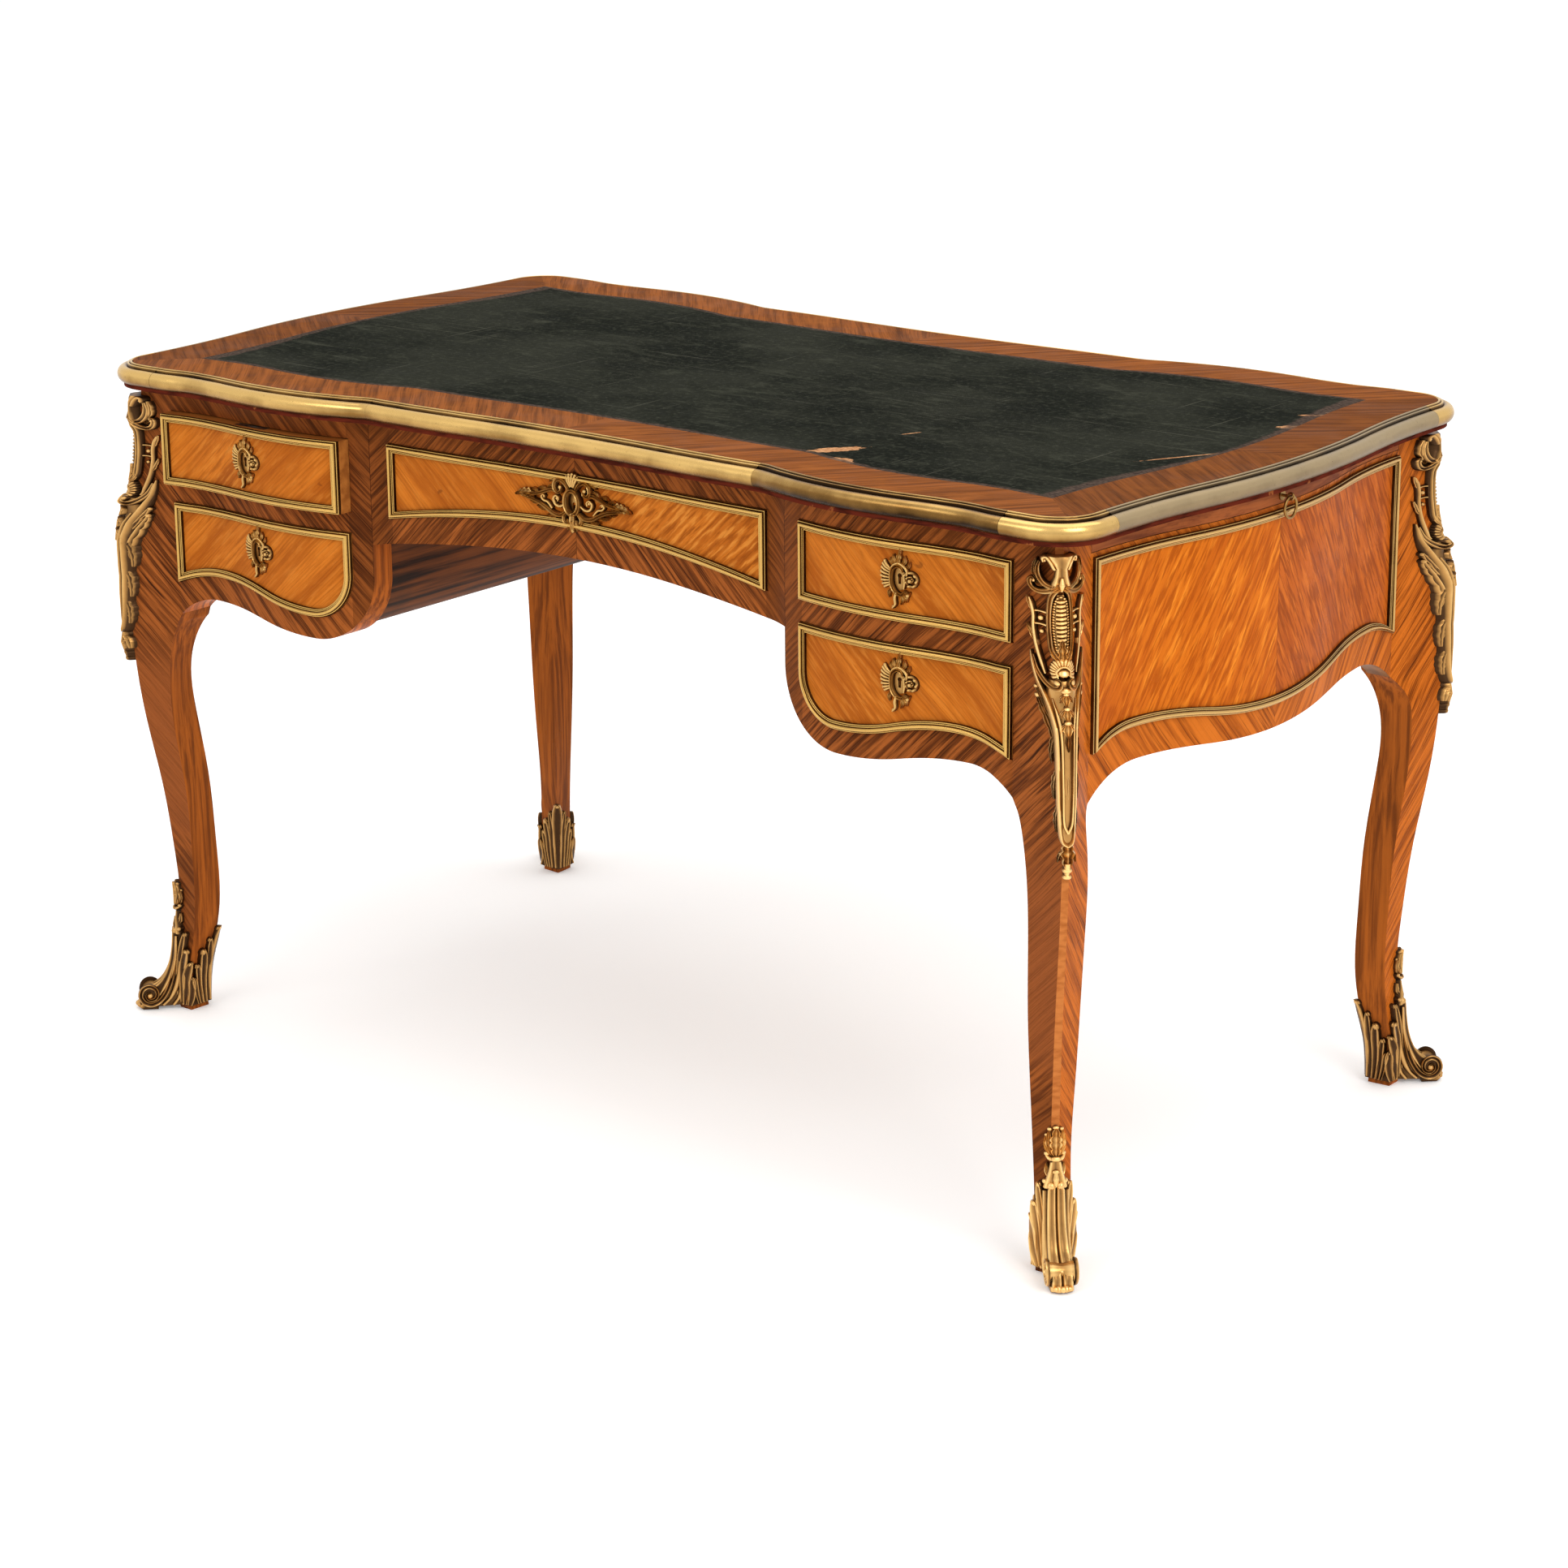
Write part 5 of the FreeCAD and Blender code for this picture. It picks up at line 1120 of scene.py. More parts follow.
# The leg's section at each height, as the part has it: outer corner, show faces and inner corner.
SHANK = ((0, 3, 24, 24, 0, 0, 26), (50, 4.5, 26, 26, 0, 0, 30), (120, -1.5, 28, 28, 1, 1, 34.5),
         (200, 1.5, 34.5, 34.5, 2, 2, 38), (280, 8.3, 41.5, 41, 4, 4, 42), (360, 18.5, 46.5, 45.5, 6, 6, 45),
         (430, 24.5, 55, 49.5, 10, 9, 49), (456, 25.5, 60.5, 53.5, 12, 14, 55),
         (470, 25.5, 64.5, 61.5, 13.5, 20.5, 60))
KNEE_LEVEL, STILE_TOP = 481, 753
KNEE = (KNEE_LEVEL, [(659.5, 360.5), (590.5, 345.8), (633, 288), (592.5, 296)])
STILE = ((260.5, 25.5, 25.5), (233, 25.5, 25.5), (153, 17.5, 20.5), (73, 8, 15), (0, 3, 10.5))
STILE_INNER = [(584, 345), (633, 288), (590, 294)]
STILE_FOOT = STILE_TOP - STILE[0][0]
LEG_X, LEG_Y = 634, 335
CHAMFER = 6


def natural_curve(xs, ys):
    """A smooth curve through values, as arrays, read at any place."""
    xs, ys = np.array(xs, float), np.array(ys, float)
    gaps = np.diff(xs)
    count = len(xs)
    left, right = np.eye(count), np.zeros(count)
    for n in range(1, count - 1):
        left[n, n - 1:n + 2] = gaps[n - 1], 2 * (gaps[n - 1] + gaps[n]), gaps[n]
        right[n] = 6 * ((ys[n + 1] - ys[n]) / gaps[n] - (ys[n] - ys[n - 1]) / gaps[n - 1])
    bend = np.linalg.solve(left, right)

    def read(x):
        n = int(np.clip(np.searchsorted(xs, x) - 1, 0, count - 2))
        a, b, gap = xs[n + 1] - x, x - xs[n], gaps[n]
        return ((bend[n] * a ** 3 + bend[n + 1] * b ** 3) / (6 * gap)
                + (ys[n] / gap - bend[n] * gap / 6) * a + (ys[n + 1] / gap - bend[n + 1] * gap / 6) * b)
    return read


def shank_plan(row):
    height, swing, front, side, front_slant, side_slant, depth = row
    x, y = LEG_X + swing, LEG_Y + swing
    return height, [(x, y), (x - front, y - front_slant), (x - side_slant, y - side), (x - depth, y - depth)]


def stile_plan(row):
    drop, swing_x, swing_y = row
    return STILE_TOP - drop, [(LEG_X + swing_x, LEG_Y + swing_y)] + STILE_INNER


def leg_curves(plans):
    heights = [height for height, plan in plans]
    return [[natural_curve(heights, [plan[corner][axis] for height, plan in plans]) for axis in (0, 1)]
            for corner in range(4)]


shank_curves = leg_curves([shank_plan(row) for row in SHANK] + [KNEE])
knee_curves = leg_curves([KNEE, stile_plan(STILE[0])])
stile_curves = leg_curves([stile_plan(row) for row in STILE])
leg_sections = {}


def leg_section(z):
    """The leg's outline each way from the middle of its chamfer, in plan, on past the inner corner."""
    step = round(z * 2) / 2
    if step not in leg_sections:
        if step < KNEE_LEVEL:
            curves = shank_curves
        else:
            curves = knee_curves if step < STILE_FOOT else stile_curves
        outer, front, side, heart = [np.array([read(step) for read in pair]) for pair in curves]
        to_front, to_side = front - outer, side - outer
        front_edge = outer + to_front / abs(to_front[0]) * CHAMFER
        side_edge = outer + to_side / abs(to_side[1]) * CHAMFER
        middle = (front_edge + side_edge) / 2
        halves = []
        for edge, far, other in ((front_edge, front, side), (side_edge, side, front)):
            line = np.array([middle, edge, far, heart, other])
            halves.append((run_along(line), line))
        leg_sections[step] = halves
    return leg_sections[step]


def round_leg(run, z):
    """A place on the leg's outline, some way round from its corner: to the side where positive."""
    lengths, line = leg_section(z)[1 if run > 0 else 0]
    return np.array([np.interp(abs(run), lengths, line[:, axis]) for axis in (0, 1)])


def off_leg(run, z, out):
    """A place some way out from the leg, square to it."""
    here = round_leg(run, z)
    way = round_leg(run + 5, z) - round_leg(run - 5, z)
    normal = np.array((-way[1], way[0])) / np.linalg.norm(way)
    spot = here + normal * out
    return (spot[0], -spot[1], z)


ACROSS, OUTWARD = np.array((1, 1, 0)) / math.sqrt(2), np.array((1, -1, 0)) / math.sqrt(2)
MOUNT_FOOT, MOUNT_RISE = 427, 0.943
# The chamfer's half width, how much wider a run the faces beside it need, and how far work stands square.
FLAT_HALF, FACE_SPREAD, SQUARE_OUT = 4.2, 1.36, 4
# How far the middle of a corner mount stands off its leg, from its foot up.
STAND_UP = (0, 12, 25, 40, 110, 133, 155, 178, 192, 205, 216, 240, 290, 305, 333)
STAND_OUT = (5, 6, 9, 6.5, 6.5, 9, 12, 12, 9, 10, 2, 0, 1, 6, 8)


def on_corner(across, up, out):
    """A place on a leg's corner, given as it is seen along the diagonal; high work leans out along it."""
    wide = abs(across)
    run = wide if wide < FLAT_HALF else FLAT_HALF + (wide - FLAT_HALF) * FACE_SPREAD
    x, y, z = off_leg(math.copysign(run, across), MOUNT_FOOT + up * MOUNT_RISE, min(out, SQUARE_OUT))
    middle = min(max((out - 1) / 4, 0), 1) * min(max(1.25 - wide / 28, 0), 1)
    pull = OUTWARD * (max(out - SQUARE_OUT, 0) + np.interp(up, STAND_UP, STAND_OUT) * middle)
    return (x + pull[0], y + pull[1], z)


def there_and_back(line):
    """Half of an outline closed by its mirror image."""
    return line + [(-across, up) for across, up in line[-2:0:-1]]


def corner_mount():
    """Tall mount of a leg's corner: pierced cartouche and shell above, a long hollow drop below."""
    m = Casting(on_corner)
    # Long hollow body.
    m.strip([(0, 208), (0, 190), (0, 170), (0, 140), (0, 100), (0, 70), (0, 50), (0, 40)],
            [24, 33, 25, 18, 16, 13, 9, 4], 1.6, FLAT, 2.8, spacing=3, tone=1.6)
    # Fringe of leaves down both edges.
    for line, width in (([(-8, 158), (-11.6, 147), (-13.6, 135), (-13.2, 123)], 6.4),
                        ([(-7, 119), (-10.2, 109), (-11.6, 97), (-10.8, 85)], 6.4),
                        ([(-6.4, 81), (-8.8, 71), (-9.2, 61), (-8, 51)], 5.4)):
        m.leaf(line, [3, width, width * 0.8, 1.6], [3.4, 4, 3.6, 2.4], 2.4, 4, True, 0.85)
    # Outer acanthus leaf with its curls.
    m.leaf([(-9, 142), (-12.6, 158), (-17, 171), (-21, 180), (-24, 188)],
           [4, 8, 9, 7, 2.5], 4.5, 1.4, 4, True)
    m.leaf([(-11, 166), (-16.4, 180), (-20.6, 190), (-24.6, 197)], [3, 5.4, 5.4, 1.6], 4.4, 2.6, 2, True)
    m.bead(-24, 188.5, 2.5, 3.2, True).bead(-24.4, 197, 2.3, 3, True)
    # Main stems, from the scrolled tips down to the round end.
    m.strip([(-27, 233), (-26, 221), (-23, 206), (-19, 196), (-14.8, 185), (-11.6, 173), (-9, 160),
             (-7.9, 140), (-7.4, 120), (-7, 98), (-6.4, 77), (-5.2, 56), (-3.4, 43.5), (0, 38.5)],
            [1.5, 4, 5.6, 6.8, 7.8, 8.4, 8, 7, 6.4, 6, 5.6, 5, 4.4, 4.2],
            [2, 4.5, 6, 7, 7.6, 7.6, 7, 6, 5.6, 5.4, 5.2, 5, 5, 5], BEVEL, 2.8, pair=True)
    m.strip([(-10, 190), (-6, 172), (-4.2, 152), (-3.5, 120), (-3.1, 90), (-2.4, 64), (0, 52)],
            [1.2, 2.6, 2.6, 2.4, 2.2, 2.2, 2.2], [1.5, 3, 3.4, 3.4, 3.2, 3, 3], ROUND, 3.4, pair=True)
    m.strip([(0, 138), (0, 100), (0, 62)], [1, 2, 1], [1, 2.2, 1], ROUND, 2.2)
    # Husks hanging below the shell.
    m.bead(0, 200, 3.4, 5)
    for level, size in ((196, 0.9), (182, 1.0), (168, 1.15)):
        m.leaf([(0, level), (0, level - 6 * size), (0, level - 12.6 * size)], [2.4, 5.6 * size, 1.2], 3.8, 4)
        m.leaf([(-0.8, level), (-3.4 * size, level - 4.5 * size), (-4.6 * size, level - 9 * size)],
               [1.6, 3.4 * size, 0.8], 3, 4, pair=True)
        m.bead(0, level + 0.5, 1.9 * size, 6.4)
    m.leaf([(0, 154), (0, 147), (0, 138)], [2, 3.6, 0.8], 2.6, 3.4)
    # Foot: leaf and two beads.
    m.leaf([(0, 40), (0, 30), (0, 16)], [7, 12, 5], 4, 2, 3)
    m.leaf([(-2, 35), (-5.6, 28), (-7, 19)], [2, 4.6, 1], 3, 1.6, 2, True)
    m.strip([(0, 20), (0, 12), (0, 3)], [5, 4, 3], [3.6, 4, 3], ROUND, 2)
    m.bead(0, 12, 3.4, 3).bead(0, 4.6, 3.2, 3)
    # Pierced sides: outer bars, cross links and balls.
    m.strip([(-26, 287), (-24, 280), (-22.6, 270), (-23, 259), (-22.2, 247), (-20, 234), (-17, 222),
             (-14.6, 213)],
            [2.4, 4.4, 4.2, 4, 4.4, 4.6, 4.4, 3.4], [3, 4.5, 4.5, 4.2, 4.5, 5, 5, 4], ROUND, 1.8, pair=True)
    m.leaf([(-22.6, 274), (-25, 280), (-28, 288.5)], [3, 5.6, 1.5], 3.6, 2, 2, True)
    m.leaf([(-22.4, 244), (-25.4, 252), (-29, 260)], [3, 5.6, 1.2], 3.6, 1.8, 2, True)
    m.leaf([(-20.6, 236), (-21, 243), (-25, 248)], [3, 4, 1], 3, 2.2, pair=True)
    for level in (274, 261):
        m.strip([(-23, level), (-16.6, level + 0.8), (-9.6, level)], [3, 2, 3], 3, ROUND, 1.4, pair=True)
    m.bead(-16.4, 267.6, 2.7, 1.8, True).bead(-16.2, 254, 2.2, 1.6, True)
    # Ribbed cartouche.
    m.strip([(0, 294), (0, 278), (0, 260), (0, 244), (0, 232)], [5, 13, 15, 14, 7], 1.4, FLAT, 2.2, tone=1.2)
    oval = [(0, 302), (-5.2, 297), (-7.8, 286), (-8.9, 268), (-8.5, 250), (-6.8, 236), (0, 227)]
    m.strip(there_and_back(oval), 4.2, 5.5, GROOVED, 3.6, loop=True)
    inner = [(0, 292), (-4, 286), (-5.4, 268), (-5.1, 251), (-3.4, 239), (0, 234)]
    m.chain(there_and_back(inner), 44, 1.15, 4.4)
    for n in range(12):
        level = 287.5 - n * 4.3
        half = 3.6 * math.sin(math.pi * (0.16 + 0.74 * (n + 0.5) / 12)) ** 0.5
        m.strip([(-half, level), (0, level - 0.5), (half, level)], [3.2, 4.6, 3.2], [3, 4.4, 3], ROUND, 3)
    # Shell with its crest and the scrolls under it.
    for angle in range(-32, 213, 16):
        cos, sin = math.cos(math.radians(angle)), math.sin(math.radians(angle))
        m.strip([(3.6 * cos, 216.5 + 4.4 * sin), (7 * cos, 217 + 9 * sin), (10.4 * cos, 217.5 + 13 * sin)],
                [1.6, 3, 3.6], [3, 4.4, 3.4], ROUND, (4, 4.6, 5), tip=0.2, spacing=0.8)
    m.bead(0, 216, 4.4, 4.2)
    m.strip([(-4.4, 212), (-4.8, 218), (0, 222.6), (4.8, 218), (4.4, 212)],
            [1.8, 2.6, 3, 2.6, 1.8], [3, 4, 4.4, 4, 3], ROUND, 5.4)
    m.leaf([(0, 228), (0, 238), (0, 249)], [6, 7, 1.5], 4.5, 5, 3)
    m.leaf([(-2.6, 228), (-6, 234), (-6.8, 241)], [4, 5, 1], 4, 4.5, pair=True)
    m.strip([(-25, 229), (-22.4, 216), (-16.4, 206.4), (-9, 202), (-4.4, 204), (-3.7, 208.6), (-6.2, 210)],
            [2, 4.6, 5.6, 5.8, 5, 4, 2.6], [3, 6, 7.5, 8.5, 8.5, 7.5, 6], GROOVED, 2.8, pair=True)
    m.bead(-6, 208, 2.4, 9, True)
    # Horned scroll.
    m.strip([(0, 304), (-6, 299.6), (-12.6, 296.4), (-19, 296), (-24, 299), (-26, 305), (-23.6, 308),
             (-21.4, 306)],
            [5, 5.6, 5.6, 5, 4.6, 4.2, 3.4, 2.4], [5, 5.5, 5.5, 5.5, 5, 4.6, 4, 3], GROOVED, 2.8, pair=True)
    m.bead(-22.4, 305.4, 2.3, 3.2, True)
    # Crown: waisted cup between two leafy arms.
    m.strip([(-2, 303), (-8, 302.6), (-13.6, 305), (-17.8, 311), (-19, 319), (-17, 327)],
            [5, 5.6, 5.6, 5.4, 4.6, 2], [4, 5, 5.5, 5.5, 5, 4], GROOVED, 2.6, pair=True)
    m.leaf([(-15.6, 307), (-20, 311), (-21.4, 319), (-19.6, 329)], [3, 5.4, 5, 1.4], 3.8, 2.4, 3, True)
    m.leaf([(-11, 304), (-17, 302.4), (-21.4, 305)], [3, 4.6, 1], 3.2, 1.8, pair=True)
    m.strip([(0, 334), (0, 329), (0, 322), (0, 314), (0, 305)],
            [23, 15, 8, 10, 15], [4, 4.4, 4.6, 5, 5], GROOVED, 3)
    m.strip([(-5, 321), (-8, 328), (-11.6, 332.4), (-14.6, 330.6), (-14, 327)], [3, 4, 4, 3.4, 2.4],
            [4, 5, 5.4, 5, 4], ROUND, 2.8, pair=True)
    m.bead(-13, 328.6, 2.3, 3.4, True)
    m.strip([(0, 313), (0, 306), (0, 299)], [2, 5, 2], [3, 5, 3], ROUND, 5.5)
    m.leaf([(-1, 307), (-4.4, 304), (-7, 300)], [2, 4, 1], 3.4, 5.4, pair=True)
    return m.shape()


TOE_ROOT = np.array((LEG_X, -LEG_Y, 0))
FOOT_HALF = 56


def on_toe(across, up, out):
    """A place on the toe: across the diagonal, up, and out along it."""
    return tuple(TOE_ROOT + ACROSS * across + OUTWARD * out + np.array((0, 0, up)))


def on_foot(run, up, out):
    """A place round the foot, where the inner corner is FOOT_HALF from the outer one either way."""
    half_way = leg_section(up)[1 if run > 0 else 0][0][3]
    return off_leg(run * half_way / FOOT_HALF, up, out)


BAND = [(-1, -0.5, 0.1), (-0.98, 1.5, 0.7), (-0.88, 2.4, 1.0), (-0.72, 1.5, 0.55), (-0.5, 0.6, 0.3),
        (-0.3, 1.4, 0.55), (-0.17, 2.3, 1.0), (-0.07, 1.1, 0.35), (0, 0.2, 0.1)]
BAND += [(-across, high, shine) for across, high, shine in BAND[-2::-1]]


def toe_strip(toe, hand, line, spacing, section, rise, size):
    """A strip on one side of the toe; size gives its half width and place across by share and way out."""
    path, heading, share = flowing(line, False, spacing)
    rows = []
    for (out, up), way, s in zip(path, heading, share):
        wide, side = size(s, out)
        rows.append([(hand * (side + rise * h), up + way[0] * c * wide, out - way[1] * c * wide)
                     for c, h, shine in section])
    tones = [[shine for c, h, shine in section]] * len(rows)
    toe.skin(rows, tones, False, hand < 0, True)


def volute_size(s, out):
    wide = np.interp(s, (0, 0.12, 0.3, 0.55, 0.8, 1), (1.4, 3.2, 3.6, 3, 2.2, 1.2))
    return wide, np.interp(s, (0, 0.2, 0.4, 1), (9.4, 11.4, 12.6, 13))


def ridge_size(thick):
    def size(s, out):
        return thick * math.sin(math.pi * min(0.12 + s, 0.9)) ** 0.5, max(9.2, 7.5 - out * 0.8)
    return size


SPIRAL = [(3, 68), (6.4, 48), (12.6, 28.5), (21.6, 14), (32, 7.8), (41, 10), (45.8, 18), (43.4, 26.8),
          (36, 30.6), (28.6, 27.4), (26.4, 20.4), (29.6, 14.8), (35.4, 14), (39, 18), (37.4, 22.4), (34, 22)]
RIDGES = (([(1, 92), (3, 66), (8, 47), (14.6, 33), (22.6, 21), (29, 13)], 3.4),
          ([(-3, 78), (-1.4, 50), (3.4, 30), (11, 15), (20, 6)], 4.2),
          ([(-6, 56), (-4.4, 32), (0.4, 16), (8, 5.6)], 4.2),
          ([(-9, 36), (-7.6, 18), (-3, 6)], 4))


def scrolled_toe():
    """Double band down the corner that rolls over the toe, with a volute each side of it."""
    toe = Casting(on_toe)
    band = [(3.2, 97), (4.4, 82), (7.4, 62), (12.6, 46), (20, 34), (28.6, 27), (37, 23), (43, 18),
            (46.4, 11), (45, 4)]
    path, heading, share = flowing(band, False, 1.6)
    rows, tones = [], []
    for (out, up), way, s in zip(path, heading, share):
        half = np.interp(s, (0, 0.03, 0.3, 0.6, 1), (6.5, 8.8, 10, 12, 10.5))
        row = [(half * c, up + way[0] * h, out - way[1] * h) for c, h, shine in BAND]
        row += [(half * c, up - way[0] * 9, out + way[1] * 9) for c in (1, -1)]
        rows.append(row)
        tones.append([shine for c, h, shine in BAND] + [0.3, 0.3])
    toe.skin(rows, tones, False, True, True)
    heart = [(-6, 5), (42, 3), (44, 8), (40, 14), (33, 19), (25, 22), (17, 30), (10, 42), (4, 58), (-6, 58)]
    rows = [[(across, up, out) for out, up in heart] for across in (-9.5, 9.5)]
    toe.skin(rows, [[0.45] * len(heart)] * 2, False, True, True)
    # Lobed plate under the toe.
    rows = []
    for n in range(13):
        across = 11.4 * math.sin(math.pi * (n / 12 - 0.5))
        reach = 50.5 - 5 * (across / 11.4) ** 4 - 0.8 * math.cos(math.pi * across / 3.8)
        outline = ((1, 26), (1, reach - 3), (3.4, reach), (6.6, reach - 0.6), (9, reach - 4), (10, 26))
        rows.append([(across, up, out) for up, out in outline])
    toe.skin(rows, [[0.1, 0.3, 0.8, 0.9, 0.6, 0.2]] * 13, False, True, True)
    # Volutes, and ridges that flow from the leg along the side of the toe.
    for hand in (-1, 1):
        toe_strip(toe, hand, SPIRAL, 1.2, GROOVED, 3.6, volute_size)
        for line, thick in RIDGES:
            toe_strip(toe, hand, line, 1.4, ROUND, 4, ridge_size(thick))
    # Roll between the volutes, waisted, with a hub at each end.
    roll = [(-16.4, 1.2, 1.0), (-15.4, 3, 0.9), (-13.2, 3.8, 0.4), (-13, 8, 0.3), (-12.4, 10.4, 0.7),
            (-9, 9.8, 0.85), (-4, 8.8, 0.6)]
    roll += [(0, 8.4, 0.5)] + [(-across, size, shine) for across, size, shine in roll[::-1]]
    turns = [2 * math.pi * k / 20 for k in range(20)]
    rows = [[(across, 19 + size * math.sin(a), 35.2 + size * math.cos(a)) for a in turns]
            for across, size, shine in roll]
    toe.skin(rows, [[shine] * 20 for across, size, shine in roll], False, True, True)
    # Balls at the tip, on the cross bar and over the ends of the band.
    ring = [math.pi * k / 5 for k in range(10)]
    for across, up, out, size in ((-7, 6, 48.6, 2.6), (0, 6, 50, 3.4), (7, 6, 48.6, 2.6),
                                  (0, 21.5, 41.5, 2.4), (-4.7, 96.4, 1.6, 4.6), (4.7, 96.4, 1.6, 4.6)):
        ball = []
        for n in range(7):
            angle = math.pi * (n + 0.3) / 6.6
            girth, rise = size * math.sin(angle), size * math.cos(angle)
            ball.append([(across + girth * math.cos(a), up + girth * math.sin(a), out + rise) for a in ring])
        toe.skin(ball, [[0.9] * 10] * 7, False, True, True)
    return toe


# Height of the shoe's wall, from the outer corner of the foot round to the inner one.
WALL_RUN = (0, 8, 14, 20, 25, 32, 40, 48, FOOT_HALF)
WALL_TOP = (88, 86, 62, 42, 26, 24, 36, 52, 66)


def foot_mount():
    """Leafy shoe with a flower finial and a scrolled toe."""
    m = Casting(on_foot, -0.8)
    # Wall round the foot, low between the leaves.
    rows, tones = [], []
    for run in range(-FOOT_HALF, FOOT_HALF):
        flute = abs(math.cos(math.pi * run / 7))
        top = np.interp(abs(run), WALL_RUN, WALL_TOP)
        row = []
        for k in range(9):
            row.append((run, 6 + (top - 6) * k / 8, (2.4 + 1.2 * flute) * (1 - 0.35 * (k / 8) ** 3)))
        rows.append(row + [(run, top - 0.5, -0.8), (run, 6, -0.8)])
        tones.append([0.12 + 0.3 * flute] * 9 + [0.0, 0.0])
    m.skin(rows, tones, True, False, False)
    # Leaves on the show faces, then round the inner ones to the tall leaf at the inner corner.
    m.tongue([(10.5, 16), (12, 44), (13.6, 72), (16, 97)], [6, 9.4, 9.6, 7.4])
    m.tongue([(14.5, 9), (17.5, 30), (18.6, 52), (21, 77)], [6, 9.8, 10.4, 8])
    m.tongue([(19.5, 8), (22.5, 24), (23.4, 42), (26, 62)], [6, 8.8, 9.2, 7.2])
    m.tongue([(25, 7), (27, 16), (28, 28), (27.5, 43)], [5, 7.2, 7.8, 6.4])
    m.tongue([(36.5, 7), (34, 18), (32, 30), (29.5, 41)], [5, 7, 7.4, 6.4])
    m.tongue([(41, 7), (38.4, 24), (36.6, 42), (33.4, 57)], [6, 9, 9.6, 8])
    m.tongue([(46.5, 7), (44, 30), (42.6, 54), (39.4, 74)], [7, 11, 12, 10.4], 3.8, (2, 3, 5.6))
    m.tongue([(51.5, 8), (50.4, 36), (49.6, 64), (47.4, 87)], [6, 9, 9, 7.4])
    m.tongue([(56, 8), (56, 40), (56, 72), (56, 99)], [7, 10.6, 10, 7.8], pair=False)
    # Stem, knot and flower.
    m.strip([(0, 94), (0, 103), (0, 112), (0, 121)], [20, 14.5, 9.6, 7], [3.5, 4, 4, 4], GROOVED, (4, 3.6, 3))
    m.bead(0, 111, 2.2, 6.4).bead(-7.6, 100, 2.8, 4.6, True)
    m.strip([(0, 96), (0, 104), (0, 113)], [3, 4.4, 1.6], [3, 4, 3], ROUND, 5.4)
    m.leaf([(-3, 103), (-6.4, 110), (-6.8, 119)], [3, 5, 1], 3, 2.4, pair=True)
    m.strip([(-6.4, 127.5), (-2.8, 124.4), (2.8, 124.4), (6.4, 127.5)],
            [2.4, 4.8, 4.8, 2.4], [3, 5.4, 5.4, 3], ROUND, 3.4)
    m.bead(-6.2, 128.6, 2.3, 4, True).bead(0, 124.6, 3, 7.4)
    m.leaf([(0, 128), (0, 142), (0, 156)], [4.4, 8, 2.6], 5, 4.4, 4)
    m.leaf([(-1.6, 128), (-4.4, 140), (-4.2, 154)], [3.4, 5.4, 1.8], 4.4, 3.2, 3, True)
    m.leaf([(-3, 128), (-7, 136), (-7.2, 147)], [2.6, 4.6, 1.4], 3.8, 2.2, 2, True)
    m.bead(-4.2, 155, 2, 3.2, True).bead(0, 157, 1.9, 4.4).bead(-7.2, 147.6, 1.7, 2.4, True)
    return joined([m.shape(), scrolled_toe().shape()])


def keyhole_plate(m, level, half_wide, half_tall):
    """The little plate inside the surround, open at the keyhole."""
    hole, rim = [], []
    for n in range(24):
        angle = 2 * math.pi * n / 24
        rim.append((half_wide * math.cos(angle), half_tall * math.sin(angle)))
        x, z = math.cos(angle), math.sin(angle)
        if z > -0.75:
            hole.append((2.4 * x, level + 2.4 * z))
        else:
            hole.append((1.5 * (1 if x > 0 else -1) * min(1, abs(x) * 2), level - 8.4))
    rows = [[(*p, -0.5) for p in rim], [(*p, 1.4) for p in rim],
            [(*p, 1.7) for p in hole], [(*p, -0.5) for p in hole]]
    rows = [list(row) for row in zip(*rows)]
    m.skin(rows, [[0.1, 0.4, 0.6, 0.1]] * 24, True, False, False)


